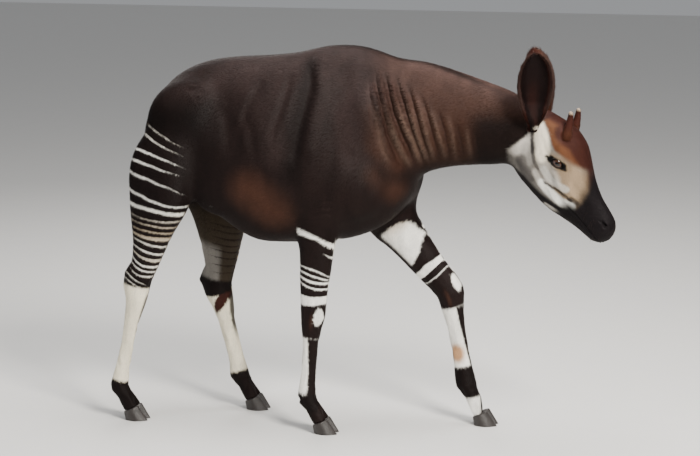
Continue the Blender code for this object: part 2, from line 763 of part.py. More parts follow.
def prism(name, outline, low_y, high_y):
    """An upright outline in the plane of the body, given depth from side to side."""
    shape = bmesh.new()
    near = [shape.verts.new((x, low_y, z)) for x, z in outline]
    far = [shape.verts.new((x, high_y, z)) for x, z in outline]
    shape.faces.new(near)
    shape.faces.new(far)
    for index in range(len(outline)):
        other = (index + 1) % len(outline)
        shape.faces.new((near[index], near[other], far[other], far[index]))
    bmesh.ops.recalc_face_normals(shape, faces=shape.faces)
    return piece_from(name, shape)


def region(name, margin):
    """The space of one node of flesh, larger or smaller by a margin along its cuts."""
    line, away, low_y, high_y = REGIONS[name]
    (x1, z1), (x2, z2) = line
    slope = Vector((x2 - x1, z2 - z1)).normalized()
    normal = Vector((slope.y, -slope.x))
    if normal.dot(Vector(away)) > 0 or name == "neck":
        normal = -normal
    first = Vector(line[0]) + (normal - slope) * margin
    second = Vector(line[1]) + (normal + slope) * margin
    reach = Vector(away)
    if name == "neck":
        (x3, z3), (x4, z4) = REGIONS["head"][0]
        ahead = Vector((z4 - z3, x3 - x4)).normalized()
        outline = [first, second, Vector((x4, z4)) + ahead * margin, Vector((x3, z3)) + ahead * margin]
    else:
        outline = [first, second, second + reach, first + reach]
    return prism(name + "_region", outline, low_y - margin, high_y + margin)


def almond(name, centre, outward, along, length, height, depth):
    """A prism with the outline of the open eye."""
    across = outward.cross(along).normalized()
    rings = []
    for reach in (0.0, depth):
        ring = []
        for index in range(18):
            turn = 2 * math.pi * (index + 0.5) / 18
            wide = math.cos(turn) * length / 2
            high = math.sin(turn) * height / 2 * (1 - 0.30 * abs(math.cos(turn)))
            spread = 1.0 if reach else 0.75
            ring.append(centre + outward * reach + along * wide * spread + across * high * spread)
        rings.append(ring)
    return loft(name, rings)


def eye_axes(side):
    outward = (HEAD_MATRIX.to_3x3() @ Vector((0.20, side * 0.96, 0.16))).normalized()
    along = HEAD_MATRIX.to_3x3() @ Vector((0.92, 0.0, 0.38))
    along = (along - outward * along.dot(outward)).normalized()
    return outward, along


def add_eyes(head):
    """Lids round each eyeball, open in the shape of an almond, and the eyeballs themselves."""
    eyes = []
    for side, name in SIDES:
        centre = head_place(EYE_PLACE[0], side * EYE_PLACE[1], EYE_PLACE[2])
        outward, along = eye_axes(side)
        lids = ellipsoid("lids", centre, (EYEBALL_RADIUS + LID_THICKNESS,) * 3, segments=20)
        boolean(head, [lids], "UNION")
        opening = almond("opening", centre, outward, along, EYE_OPENING, EYE_OPENING * 0.56, 0.06)
        ball = ellipsoid("eye_" + name, centre, (EYEBALL_RADIUS,) * 3, segments=18)
        boolean(head, [grown(ball, "socket"), opening], "DIFFERENCE")
        eyes.append(ball)
    return eyes


def add_mouth(head):
    """The line of the mouth, cut a little way in between the lips, and the nostrils."""
    half = MOUTH_LINE / 2
    outline = [(along, up + half) for along, up in MOUTH]
    outline += [(along, up - half) for along, up in reversed(MOUTH)]
    sheet = prism("mouth", outline, -0.09, 0.09)
    sheet.data.transform(HEAD_MATRIX)
    core_rows = []
    for along, top, jaw, level, wide, narrow, square in HEAD[:-1]:
        along = min(along, HEAD_LENGTH - 0.009)
        top = max(top - LIP_DEPTH, 0.002)
        jaw = min(jaw + LIP_DEPTH, -0.004)
        wide = max(wide - LIP_DEPTH, 0.004)
        core_rows.append((along, top, jaw, level, wide, narrow, square))
    rings = []
    at = np.linspace(core_rows[5][0], core_rows[-1][0], 30)
    for along, row in zip(at, smooth_rows(core_rows, at)):
        top, jaw, level, wide, narrow, square = row
        ring = section(wide, max(top - level, 0.004), max(level - jaw, 0.004), 2.1, square, 0.12, narrow)
        rings.append([head_place(along, side, level + up) for side, up in ring])
    core = loft("core", rings)
    boolean(sheet, [core], "DIFFERENCE")
    cutters = [sheet]
    for side, _ in SIDES:
        for shift, size in ((0.0, 1.0), (-0.012, 0.62)):
            place = head_place(NOSTRIL[0] + shift, side * NOSTRIL[1], NOSTRIL[2] + shift * 0.35)
            radii = (0.0105 * size, 0.010, 0.0052 * size)
            hole = ellipsoid("nostril", (0, 0, 0), radii, (0, 0.5, side * 0.35), 14)
            hole.data.transform(Matrix.Translation(place) @ HEAD_MATRIX.to_3x3().to_4x4())
            cutters.append(hole)
    boolean(head, cutters, "DIFFERENCE")


def ear(name, base, tip, facing):
    """A leaf-shaped cup on a round stalk. Its sections are crescents from edge to edge."""
    line = (tip - base).normalized()
    length = (tip - base).length
    opening = (facing - line * facing.dot(line)).normalized()
    across = line.cross(opening).normalized()
    at = [0.0, 0.05, 0.10, 0.16, 0.22, 0.30, 0.38, 0.47, 0.56, 0.65, 0.74, 0.82, 0.89, 0.95, 1.0]
    rings = []
    for place, row in zip(at, smooth_rows(EAR, at)):
        wide, back, cup = (value * EAR_WIDTH for value in row)
        bend = EAR_BEND * math.sin(math.pi * place)
        middle = base + line * length * place + opening * bend
        ring = []
        for index in range(EAR_POINTS):
            turn = math.pi * index / EAR_POINTS
            ring.append(middle + across * wide * math.cos(turn) - opening * back * math.sin(turn))
        for index in range(EAR_POINTS):
            turn = math.pi * (1 - index / EAR_POINTS)
            ring.append(middle + across * wide * 0.97 * math.cos(turn) - opening * cup * math.sin(turn))
        rings.append(ring)
    return loft(name, rings)


def add_ears(head):
    ears = []
    for side, name in SIDES:
        base = head_place(EAR_BASE[0], side * EAR_BASE[1], EAR_BASE[2])
        place, facing = EAR_POSE[name]
        tip = base + Vector(place).normalized() * EAR_LENGTH
        piece = ear("ear_" + name, base, tip, Vector(facing))
        boolean(head, [grown(piece, "ear_root")], "DIFFERENCE")
        ears.append(piece)
    return ears


def add_ossicones(head):
    """The two short horns, covered with skin but for a small bare tip."""
    pieces = []
    for side, name in SIDES:
        base = head_place(HORN_BASE[0], side * HORN_BASE[1], HORN_BASE[2])
        tip = head_place(HORN_TIP[0], side * HORN_TIP[1], HORN_TIP[2])
        line = (tip - base).normalized()
        length = (tip - base).length
        across = line.orthogonal().normalized()
        beside = line.cross(across)
        rings = []
        for part, radius in HORN:
            rings.append(ring_round(base + line * length * part, across, beside, radius, 16))
        horn = loft("ossicone_" + name, rings[:4])
        top = [[point + line * CUT for point in ring] for ring in rings[4:]]
        pieces += [horn, loft("ossicone_tip_" + name, top)]
        boolean(head, [grown(horn, "horn_root")], "DIFFERENCE")
    return pieces


def lock(start, direction, length, width, thickness, bend):
    """One flat tapered lock of hair."""
    across = direction.cross(Vector((1, 0, 0.2))).normalized()
    beside = direction.cross(across).normalized()
    rings = []
    for part in (0.0, 0.3, 0.6, 0.85, 1.0):
        taper = (1 - part) ** 0.7 + 0.04
        middle = start + direction * length * part + bend * part * part
        rings.append([middle + across * width * taper, middle + beside * thickness * taper,
                      middle - across * width * taper, middle - beside * thickness * taper])
    return loft("lock", rings)


def tail_pieces(torso):
    tail = loft("tail", tail_sections(TAIL_ROOT, TAIL_LENGTH, 1.0))
    boolean(torso, [grown(tail, "tail_root")], "DIFFERENCE")
    row = smooth_rows(tail_line(), [TAIL_LENGTH - 0.01, TAIL_LENGTH])
    end = Vector(row[1])
    down = (end - Vector(row[0])).normalized()
    across = Vector((0, 1, 0))
    back = across.cross(down).normalized()
    rings = []
    for place, radius in ((CUT, 0.0115), (0.012, 0.0135), (0.035, 0.0130), (0.060, 0.0085), (0.080, 0.0030)):
        rings.append(ring_round(end + down * place, across, back, radius, 14))
    tuft = loft("tail_tuft", rings)
    draw = random.Random(SEED)
    locks = []
    for index in range(LOCKS_IN_TUFT):
        turn = index * 2.39996
        rise = 0.008 + 0.050 * index / LOCKS_IN_TUFT
        outward = across * math.cos(turn) + back * math.sin(turn)
        start = end + down * rise + outward * 0.004
        direction = (down + outward * (0.16 - 0.10 * index / LOCKS_IN_TUFT)).normalized()
        length = TUFT_LENGTH * draw.uniform(0.75, 1.0) - rise * 0.6
        bend = outward * draw.uniform(-0.012, 0.004)
        locks.append(lock(start, direction, length, draw.uniform(0.0050, 0.0068), 0.0022, bend))
    boolean(tuft, locks, "UNION")
    return [tail, largest_shell(tuft)]


def part_flesh(flesh):
    """Cut the flesh into its nodes, with a thin gap between them."""
    nodes = {}
    for name in REGIONS:
        node = new_object(name, flesh.data.copy())
        boolean(node, [region(name, -CUT / 2)], "INTERSECT")
        nodes[name] = largest_shell(node)
    cutters = [region(name, CUT / 2) for name in REGIONS]
    flesh.name = "torso"
    for cutter in cutters:
        boolean(flesh, [cutter], "DIFFERENCE")
    nodes["torso"] = largest_shell(flesh)
    return nodes


def leg_and_hooves(nodes, kind, joints, side, name):
    """Trim the toes at their coronets and set a pair of hooves under them."""
    fetlock = fetlock_of(joints, side)
    leg = nodes[kind + "leg_" + name]
    hooves = []
    for toe, place in ((side, "outer"), (-side, "inner")):
        centre, forward, upward = coronet_frame(fetlock, toe)
        below = box("below", (-0.10, -0.0224, -0.15), (0.10, 0.0224, 0.0))
        frame = Matrix((forward, (0, 1, 0), upward)).transposed().to_4x4()
        below.data.transform(Matrix.Translation(centre) @ frame)
        boolean(leg, [below], "DIFFERENCE")
        hooves.append(hoof("hoof_" + kind + "_" + name + "_" + place, fetlock, toe))
    largest_shell(leg)
    return hooves


def finish(pieces):
    """Give every node its material and set the model on the middle of its own footprint."""
    points = np.vstack([mesh_arrays(piece)[0] for piece in pieces])
    low = Vector(points.min(0))
    high = Vector(points.max(0))
    shift = Vector((-(low.x + high.x) / 2, -(low.y + high.y) / 2, -low.z))
    okapi = new_collection("okapi")
    for piece in pieces:
        piece.data.transform(Matrix.Translation(shift))
        finish_name = next(finish for start, finish in FINISHES if piece.name.startswith(start))
        piece.data.materials.clear()
        piece.data.materials.append(principled(finish_name, piece.name))
        WORK.objects.unlink(piece)
        okapi.objects.link(piece)
        piece.data.name = piece.name
        piece.data.shade_smooth()
        piece.data.set_sharp_from_angle(angle=math.radians(50))


def main():
    flesh = build_flesh()
    thin_out(flesh)
    nodes = part_flesh(flesh)
    pieces = []
    for side, name in SIDES:
        pieces += leg_and_hooves(nodes, "hind", HIND_JOINTS[name], side, name)
        pieces += leg_and_hooves(nodes, "fore", FORE_JOINTS[name], side, name)
    head = nodes["head"]
    pieces += add_eyes(head)
    add_mouth(head)
    pieces += add_ears(head)
    pieces += add_ossicones(head)
    largest_shell(head)
    pieces += tail_pieces(nodes["torso"])
    largest_shell(nodes["torso"])
    pieces += list(nodes.values())
    finish(pieces)


clear_scene()
WORK = new_collection("cutters")
HEAD_MATRIX = head_matrix()
main()
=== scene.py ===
"""Okapi, life size: the skin, coat, markings, eyes, ears, horns, hooves and tail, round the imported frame.

Metres, +Z up, the head along +X and the animal's left side at +Y, as in the frame.
"""

import math

import bpy
import numpy as np
from mathutils import Matrix, Vector
from mathutils.kdtree import KDTree


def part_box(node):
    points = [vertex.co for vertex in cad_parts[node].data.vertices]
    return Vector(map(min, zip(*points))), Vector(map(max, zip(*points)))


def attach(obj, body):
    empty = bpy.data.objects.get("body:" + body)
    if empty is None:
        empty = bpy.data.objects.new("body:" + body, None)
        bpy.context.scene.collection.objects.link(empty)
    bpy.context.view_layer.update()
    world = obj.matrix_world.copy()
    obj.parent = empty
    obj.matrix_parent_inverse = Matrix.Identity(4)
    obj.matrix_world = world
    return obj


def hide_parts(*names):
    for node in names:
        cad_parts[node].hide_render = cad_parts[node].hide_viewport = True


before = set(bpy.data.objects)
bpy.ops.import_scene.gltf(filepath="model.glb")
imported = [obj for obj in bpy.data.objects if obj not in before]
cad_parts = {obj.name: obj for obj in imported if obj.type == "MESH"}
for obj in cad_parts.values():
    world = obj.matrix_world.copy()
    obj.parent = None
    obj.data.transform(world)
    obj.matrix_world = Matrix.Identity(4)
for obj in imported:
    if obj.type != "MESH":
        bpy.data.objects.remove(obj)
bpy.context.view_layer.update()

bl_info = {
    "name": "Okapi finish",
    "version": (1, 0, 0),
    "blender": (4, 5, 0),
    "location": "View3D > Sidebar > Okapi",
    "description": "Skin, coat, markings and stage of a life-size okapi",
    "category": "Object",
}

# The head's own frame: along the face to the nose, to the animal's left, and up through the forehead.
HEAD_PITCH = math.radians(55)
HEAD_YAW = math.radians(8)
HEAD_ORIGIN = Vector((0.727, -0.055, 1.235))
EYE_PLACE = Vector((0.171, 0.0625, 0.006))
EYE_RADIUS = 0.025
SIDES = ((-1, "right"), (1, "left"))

# Joints of each leg from the top down to the fetlock, seen from the side.
LEGS = {
    "hind_right": ((-0.660, 1.150), (-0.665, 0.880), (-0.830, 0.545), (-0.915, 0.135)),
    "hind_left": ((-0.610, 1.150), (-0.490, 0.865), (-0.586, 0.487), (-0.490, 0.135)),
    "fore_right": ((0.110, 1.060), (-0.100, 0.850), (-0.115, 0.470), (-0.137, 0.135)),
    "fore_left": ((0.190, 1.040), (0.115, 0.820), (0.371, 0.532), (0.447, 0.155)),
}
# Station along the leg, and the flesh before and behind the line of its joints.
LEG_DEPTH = {
    "hind": ((0.00, 0.110, 0.138), (0.35, 0.105, 0.186), (0.70, 0.080, 0.198), (1.00, 0.058, 0.202),
             (1.18, 0.050, 0.186), (1.36, 0.047, 0.150), (1.60, 0.046, 0.096), (1.79, 0.045, 0.064),
             (1.93, 0.048, 0.058), (2.02, 0.053, 0.050), (2.15, 0.048, 0.036), (2.36, 0.034, 0.028),
             (2.60, 0.031, 0.026), (2.82, 0.030, 0.029), (3.00, 0.036, 0.040)),
    "fore": ((0.00, 0.080, 0.080), (0.55, 0.085, 0.110), (1.02, 0.096, 0.090), (1.20, 0.090, 0.074),
             (1.46, 0.074, 0.062), (1.72, 0.059, 0.054), (1.93, 0.053, 0.049), (2.02, 0.051, 0.048),
             (2.13, 0.042, 0.044), (2.34, 0.031, 0.035), (2.62, 0.028, 0.034), (2.84, 0.029, 0.038),
             (3.00, 0.035, 0.043)),
}
LEG_SPREAD = 0.135
BONE_LENGTH = {"hind": (0.27, 0.375, 0.42), "fore": (0.25, 0.38, 0.36)}

# Pale stripes: the station at the back edge, the middle and the front edge, the width in millimetres at
# the same three places, where less than none ends the stripe, and its tone: 0 white, 1 cream, 2 dark.
STRIPES = {
    "hind_outer": (
        (-0.19, 0.03, 0.20, 4, 2, -6, 0.3), (-0.03, 0.14, 0.32, 4, 3, -6, 0.2),
        (0.21, 0.29, 0.50, 7, 5, -6, 0.0), (0.35, 0.44, 0.60, 7, 5, -8, 0.0),
        (0.53, 0.65, 0.84, 11, 6, -4, 0.0), (0.80, 0.98, 0.95, 18, 10, 5, 0.0),
        (1.12, 1.10, 1.05, 19, 16, 16, 0.1), (1.25, 1.24, 1.13, 1, 3, 5, 0.6),
        (1.35, 1.30, 1.20, 4, 4, 5, 0.8), (1.42, 1.37, 1.27, 0, 4, 5, 0.9),
        (1.47, 1.44, 1.34, 3, 12, 20, 0.9), (1.53, 1.50, 1.45, 0, 6, 6, 0.3),
        (1.59, 1.58, 1.54, 1, 7, 7, 0.2), (1.64, 1.66, 1.61, 3, 9, 18, 0.7),
        (1.71, 1.74, 1.69, 3, 7, 8, 0.1), (1.77, 1.79, 1.755, 2, 7, 8, 0.2),
        (1.83, 1.85, 1.81, -2, 4, 6, 0.3), (1.90, 1.92, 1.94, 2, 4, -4, 0.3),
        (1.95, 1.965, 1.99, 1, 3, -4, 0.3),
    ),
    "hind_inner": (
        (1.20, 1.22, 1.20, -9, -2, 4, 2.0), (1.28, 1.29, 1.27, -9, 2, 5, 2.0),
        (1.35, 1.36, 1.34, -9, 2, 5, 2.0), (1.42, 1.43, 1.41, -9, 2, 6, 2.0),
        (1.50, 1.50, 1.48, -6, 3, 5, 2.0), (1.57, 1.56, 1.55, -6, 3, 6, 2.0),
        (1.65, 1.64, 1.62, -4, 3, 5, 2.0), (1.74, 1.72, 1.70, -4, 3, 5, 2.0),
        (1.81, 1.80, 1.78, -9, 2, 4, 2.0),
    ),
    "fore_outer": (
        (1.18, 1.18, 1.30, 25, 23, 25, 0.0), (1.24, 1.27, 1.40, -20, -14, 12, 0.0),
        (1.485, 1.52, 1.60, 4, 6, 3, 0.0), (1.53, 1.575, 1.62, 5, 7, 4, 0.0),
        (1.59, 1.64, 1.648, 8, 11, 8, 0.0), (1.645, 1.70, 1.715, 4, 6, 5, 0.0),
        (1.83, 1.825, 1.815, 46, 44, 40, 0.0),
    ),
    "fore_inner": (
        (1.705, 1.695, 1.69, 40, 38, 36, 0.0), (1.785, 1.79, 1.785, 3, 4, 3, 0.0),
    ),
}

# Ears: along the ear, half the width, the bulge of the back and the depth of the cup, as in the frame.
EAR = ((0.00, 0.150, 0.150, -0.140), (0.08, 0.200, 0.185, -0.120), (0.16, 0.285, 0.230, 0.020),
       (0.28, 0.390, 0.270, 0.205), (0.42, 0.465, 0.285, 0.240), (0.58, 0.500, 0.255, 0.212),
       (0.72, 0.470, 0.205, 0.166), (0.84, 0.385, 0.145, 0.110), (0.93, 0.250, 0.080, 0.052),
       (0.98, 0.120, 0.040, 0.020), (1.00, 0.030, 0.016, 0.004))
EAR_BASE = (0.012, 0.064, 0.004)
EAR_LENGTH = 0.285
EAR_WIDTH = 0.135
EAR_BEND = 0.016
EAR_POSE = {
    "right": ((0.030, -0.250, 0.970), (0.45, -0.85, -0.20)),
    "left": ((-0.200, 0.280, 0.935), (0.45, 0.85, 0.10)),
}
HORN_BASE = (0.108, 0.047, 0.082)
HORN_TIP = (0.040, 0.053, 0.152)

FLESH_NODES = ("torso", "neck", "head", "tail", "foreleg_right", "foreleg_left", "hindleg_right",
               "hindleg_left")
SKIN_VOXEL = 0.0032
SKIN_TRIANGLES = 190000
SKIN_GROWTH = 0.0006
TRUNK_ROUNDS = 130
SKIN_ROUNDS = 9
MERGE_DISTANCE = 0.00001


def head_matrix():
    """The head's frame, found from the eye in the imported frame."""
    turn = Matrix.Rotation(-HEAD_YAW, 4, "Z") @ Matrix.Rotation(HEAD_PITCH, 4, "Y")
    low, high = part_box("eye_right")
    eye = turn @ Vector((EYE_PLACE.x, -EYE_PLACE.y, EYE_PLACE.z))
    return Matrix.Translation((low + high) / 2 - eye) @ turn


HEAD = head_matrix()
HEAD_BACK = HEAD.inverted()
SHIFT = np.array(HEAD.translation - HEAD_ORIGIN)


def on_head(along, side, up):
    """A point of the head's own frame in the model's frame."""
    return HEAD @ Vector((along, side, up))


def on_body(x, y, z):
    """A point of the body's frame, from which all sizes here are measured, in the model's frame."""
    return Vector((x, y, z)) + Vector(SHIFT)


def in_head(points):
    """Points of the model in the head's own frame."""
    turn = np.array(HEAD_BACK.to_3x3())
    return points @ turn.T + np.array(HEAD_BACK.translation)


def ramp(value, low, high):
    """0 below low, 1 above high, and a smooth rise between. It falls where high is less than low."""
    part = np.clip((value - low) / (high - low), 0.0, 1.0)
    return part * part * (3 - 2 * part)


def pick(piece):
    """Select one piece alone, as the active one."""
    bpy.ops.object.select_all(action="DESELECT")
    piece.select_set(True)
    bpy.context.view_layer.objects.active = piece


def add_piece(name, mesh):
    piece = bpy.data.objects.new(name, mesh)
    bpy.context.scene.collection.objects.link(piece)
    return piece


def apply(piece, kind, **values):
    """Add a modifier, set its values and apply it."""
    pick(piece)
    change = piece.modifiers.new("change", kind)
    for key, value in values.items():
        setattr(change, key, value)
    bpy.ops.object.modifier_apply(modifier=change.name)


def read(items, key, width=3, kind=np.float32):
    """A value of every item of a mesh, as rows of the given width."""
    values = np.empty(len(items) * width, kind)
    items.foreach_get(key, values)
    return values.reshape(-1, width)


def points_of(piece):
    return read(piece.data.vertices, "co").astype(float)


def normals_of(piece):
    return read(piece.data.vertices, "normal").astype(float)


def corners_of(piece):
    """The point at each corner of each face."""
    return read(piece.data.loops, "vertex_index", 1, np.int32)[:, 0]


def triangles_of(piece):
    """Corners of every triangle, as point numbers and as loop numbers."""
    piece.data.calc_loop_triangles()
    triangles = piece.data.loop_triangles
    return read(triangles, "vertices", 3, np.int32), read(triangles, "loops", 3, np.int32)


def put_points(piece, points):
    piece.data.vertices.foreach_set("co", points.astype(np.float32).ravel())
    piece.data.update()


def spread(values, edges, rounds, weight):
    """Move each value towards the mean of its neighbours, round after round."""
    values = values.copy()
    count = len(values)
    ends = np.concatenate([edges[:, 0], edges[:, 1]])
    others = np.concatenate([edges[:, 1], edges[:, 0]])
    number = np.maximum(np.bincount(ends, minlength=count), 1)
    share = 0.5 * weight
    for _ in range(rounds):
        for axis in range(values.shape[1]):
            total = np.bincount(ends, values[others, axis], minlength=count)
            values[:, axis] += share * (total / number - values[:, axis])
    return values


def even_out(piece, rounds, weight):
    """Smooth a surface, and give back the bulk that smoothing takes."""
    points = points_of(piece)
    edges = read(piece.data.edges, "vertices", 2, np.int32)
    smooth = spread(points, edges, rounds, weight)
    lost = spread(points - smooth, edges, rounds, weight)
    put_points(piece, smooth + lost)


def path_distance(points, path):
    """Distance of each point to a broken line."""
    path = [np.array(point, float) for point in path]
    best = np.linalg.norm(points - path[0], axis=1)
    for start, end in zip(path, path[1:]):
        line = end - start
        part = np.clip((points - start) @ line / max(line @ line, 1e-12), 0, 1)
        best = np.minimum(best, np.linalg.norm(points - start - part[:, None] * line, axis=1))
    return best


def near_path(points, path, reach):
    """1 on a broken line, falling smoothly to 0 at its reach."""
    return ramp(path_distance(points, path), reach, 0.0)


def snapped(points, path, step):
    """A broken line laid on the surface, with a point every step."""
    dense = []
    for start, end in zip(path, path[1:]):
        count = max(int((Vector(end) - Vector(start)).length / step), 1)
        dense += [Vector(start).lerp(Vector(end), index / count) for index in range(count)]
    dense.append(Vector(path[-1]))
    return [points[np.argmin(((points - np.array(place)) ** 2).sum(1))] for place in dense]


def leg_axis(leg):
    """Height, place along the body, lean and station down the line of a leg's joints."""
    joints = np.array(LEGS[leg])[::-1]
    above = joints[-1] + (joints[-1] - joints[-2]) / (joints[-1, 1] - joints[-2, 1]) * 0.3
    below = joints[0] - (joints[1] - joints[0]) / (joints[1, 1] - joints[0, 1]) * 0.3
    line = np.vstack([below, joints, above])
    height = np.linspace(line[0, 1], line[-1, 1], 240)
    middle = np.interp(height, line[:, 1], line[:, 0])
    station = np.interp(height, line[:, 1], [3.6, 3, 2, 1, 0, -1.1])
    kernel = np.ones(25) / 25
    padded = np.concatenate([2 * middle[0] - middle[12:0:-1], middle, 2 * middle[-1] - middle[-2:-14:-1]])
    middle = np.convolve(padded, kernel, "valid")
    return height, middle, np.gradient(middle, height), station


def leg_place(body, leg):
    """Station down the leg from 0 at its top to 3 at the fetlock, place from its back edge at 0 to its front
    at 1, and from its inner side at -1 to its outer side at 1."""
    height, middle, lean, station = leg_axis(leg)
    kind, side_name = leg.split("_")
    side = -1 if side_name == "right" else 1
    slope = np.interp(body[:, 2], height, lean)
    off = body[:, 0] - np.interp(body[:, 2], height, middle)
    level = body[:, 2] + slope * off / (1 + slope * slope)
    across = off / np.sqrt(1 + slope * slope)
    at = np.interp(level, height, station)
    table = np.array(LEG_DEPTH[kind])
    before = np.interp(at, table[:, 0], table[:, 1])
    behind = np.interp(at, table[:, 0], table[:, 2])
    front = (across + behind) / (before + behind)
    middle_side = LEG_SPREAD - 0.012 * np.maximum(0, 0.6 - body[:, 2])
    outer = (side * body[:, 1] - middle_side) / ((before + behind) * 0.36)
    return at, front, np.clip(outer, -1.5, 1.5)


# Stations from the first and the last stripe to the ends of their row, and the least room for a stripe.
STRIPE_END = 0.25
STRIPE_ROOM = 0.015


def stripe_field(at, front, rows, kind):
    """Count of stripes passed so far, half the stripe's share of the space it has, and its tone."""
    front = np.clip(front, 0, 1)
    first = 2 * (front - 0.5) * (front - 1)
    middle = 4 * front * (1 - front)
    last = 2 * front * (front - 0.5)
    centres = [first * row[0] + middle * row[1] + last * row[2] for row in rows]
    widths = [(first * row[3] + middle * row[4] + last * row[5]) / 1000 for row in rows]
    centres = [centres[0] - STRIPE_END] + centres + [centres[-1] + STRIPE_END]
    none = np.full_like(at, -0.02)
    widths = [none] + widths + [none]
    tones = [rows[0][6]] + [row[6] for row in rows] + [rows[-1][6]]
    count = np.zeros_like(at)
    for low, high in zip(centres, centres[1:]):
        count += np.clip((at - low) / np.maximum(high - low, STRIPE_ROOM), 0, 1)
    number = np.arange(len(centres))
    lengths = np.interp(at, [0.5, 1.5, 2.5], BONE_LENGTH[kind])
    share = np.zeros_like(at)
    tone = np.zeros_like(at)
    for index in number:
        near = np.clip(1 - np.abs(count - index), 0, 1)
        low = centres[max(index - 1, 0)]
        high = centres[min(index + 1, len(centres) - 1)]
        parts = 2 if 0 < index < number[-1] else 1
        room = np.maximum((high - low) / parts, STRIPE_ROOM) * lengths
        share += near * np.clip(widths[index] / 2 / room, -0.5, 0.5)
        tone += near * tones[index]
    return count, share, tone


def cad_copy(source, name, step, **values):
    """A merged copy of a node of the frame, with one more step of editing."""
    piece = add_piece(name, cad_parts[source].data.copy())
    piece.data.materials.clear()
    pick(piece)
    bpy.ops.object.mode_set(mode="EDIT")
    bpy.ops.mesh.select_all(action="SELECT")
    bpy.ops.mesh.remove_doubles(threshold=MERGE_DISTANCE)
    bpy.ops.mesh.customdata_custom_splitnormals_clear()
    step(**values)
    bpy.ops.object.mode_set(mode="OBJECT")
    return piece


def root_mound(place, way, radius, length):
    """A rounded mound of flesh from which an ear or a horn rises."""
    bpy.ops.object.select_all(action="DESELECT")
    bpy.ops.mesh.primitive_uv_sphere_add(segments=32, ring_count=20, radius=1.0)
    mound = bpy.context.object
    turn = way.to_track_quat("Z", "Y").to_matrix().to_4x4()
    mound.data.transform(Matrix.Translation(place) @ turn @ Matrix.Diagonal((radius, radius, length, 1.0)))
    return mound


# Mounds: how far their middle lies up the ear, their radius and their half height.
EAR_MOUND = (0.004, 0.0215, 0.034)
HORN_MOUND = (0.0200, 0.030)


def horn_ends(side):
    """Foot and top of a horn."""
    return (on_head(place[0], side * place[1], place[2]) for place in (HORN_BASE, HORN_TIP))


def fused_flesh():
    """All the flesh as one closed surface of small even faces, from slightly grown copies that overlap."""
    pieces = [cad_copy(name, name + "_flesh", bpy.ops.transform.shrink_fatten, value=SKIN_GROWTH)
              for name in FLESH_NODES + ("eye_right", "eye_left")]
    for side, name in SIDES:
        base, way, _ = ear_place(side, name)
        above, radius, height = EAR_MOUND
        pieces.append(root_mound(base + way * above, way, radius, height))
        foot, top = horn_ends(side)
        pieces.append(root_mound(foot, (top - foot).normalized(), *HORN_MOUND))
    bpy.ops.object.select_all(action="DESELECT")
    for piece in pieces:
        piece.select_set(True)
    bpy.context.view_layer.objects.active = pieces[0]
    bpy.ops.object.join()
    skin = pieces[0]
    skin.name = "skin"
    skin.data.name = "skin"
    apply(skin, "REMESH", mode="VOXEL", voxel_size=SKIN_VOXEL, adaptivity=0.0)
    return skin


def zones(body, face):
    """How much each point belongs to the head and to the legs below the belly."""
    behind_jaw = 0.35 * np.maximum(-face[:, 2] - 0.1, 0)
    head = ramp(face[:, 0] - behind_jaw, -0.075, -0.005) * ramp(body[:, 0], 0.60, 0.68)
    leg = ramp(body[:, 2], 0.80, 0.68) * ramp(body[:, 0], 0.66, 0.60)
    return head, leg


def smooth_flesh(skin):
    """Even out the flat faces of the frame, strongly on the trunk and lightly on the legs and head."""
    points = points_of(skin)
    body = points - SHIFT
    x, y, z = body.T
    head, leg = zones(body, in_head(points))
    tail = ramp(x, -0.73, -0.79) * ramp(np.abs(y), 0.09, 0.05) * ramp(z, 0.85, 0.90)
    even_out(skin, TRUNK_ROUNDS, 1 - np.maximum(np.maximum(head, leg), tail))
    even_out(skin, SKIN_ROUNDS, np.ones(len(points)))


# Folds of the neck on the side: places along and up the body, the reach and the rise.
NECK_FOLDS = (
    (((0.100, 1.430), (0.108, 1.330), (0.122, 1.230), (0.150, 1.120)), 0.016, -0.0022),
    (((0.108, 1.410), (0.124, 1.330), (0.144, 1.263), (0.169, 1.143), (0.196, 1.060)), 0.017, 0.0046),
    (((0.124, 1.410), (0.151, 1.274), (0.180, 1.180), (0.216, 1.087), (0.259, 1.038)), 0.011, -0.0050),
    (((0.124, 1.440), (0.149, 1.360), (0.182, 1.255), (0.218, 1.154), (0.272, 1.042)), 0.014, 0.0058),
    (((0.150, 1.430), (0.186, 1.330), (0.205, 1.267), (0.234, 1.188), (0.259, 1.135), (0.286, 1.050)),
     0.010, -0.0054),
    (((0.169, 1.424), (0.212, 1.300), (0.249, 1.207), (0.272, 1.160), (0.306, 1.052)), 0.012, 0.0052),
    (((0.196, 1.415), (0.240, 1.300), (0.272, 1.200), (0.298, 1.124), (0.322, 1.050)), 0.010, -0.0044),
    (((0.222, 1.395), (0.262, 1.280), (0.292, 1.180), (0.336, 1.055)), 0.012, 0.0042),
    (((0.244, 1.390), (0.285, 1.260), (0.318, 1.150), (0.344, 1.060)), 0.010, -0.0038),
    (((0.268, 1.370), (0.312, 1.240), (0.340, 1.140), (0.358, 1.062)), 0.012, 0.0034),
    (((0.300, 1.345), (0.340, 1.220), (0.364, 1.130), (0.378, 1.064)), 0.010, -0.0032),
    (((0.328, 1.310), (0.368, 1.200), (0.388, 1.130), (0.400, 1.064)), 0.012, 0.0030),
    (((0.365, 1.290), (0.396, 1.190), (0.416, 1.066)), 0.010, -0.0026),
    (((0.400, 1.270), (0.425, 1.180), (0.438, 1.068)), 0.013, 0.0024),
    (((0.440, 1.240), (0.456, 1.160), (0.464, 1.072)), 0.011, -0.0022),
    (((0.474, 1.230), (0.486, 1.160), (0.492, 1.076)), 0.013, 0.0018),
    (((0.512, 1.220), (0.520, 1.150), (0.524, 1.080)), 0.011, -0.0014),
)
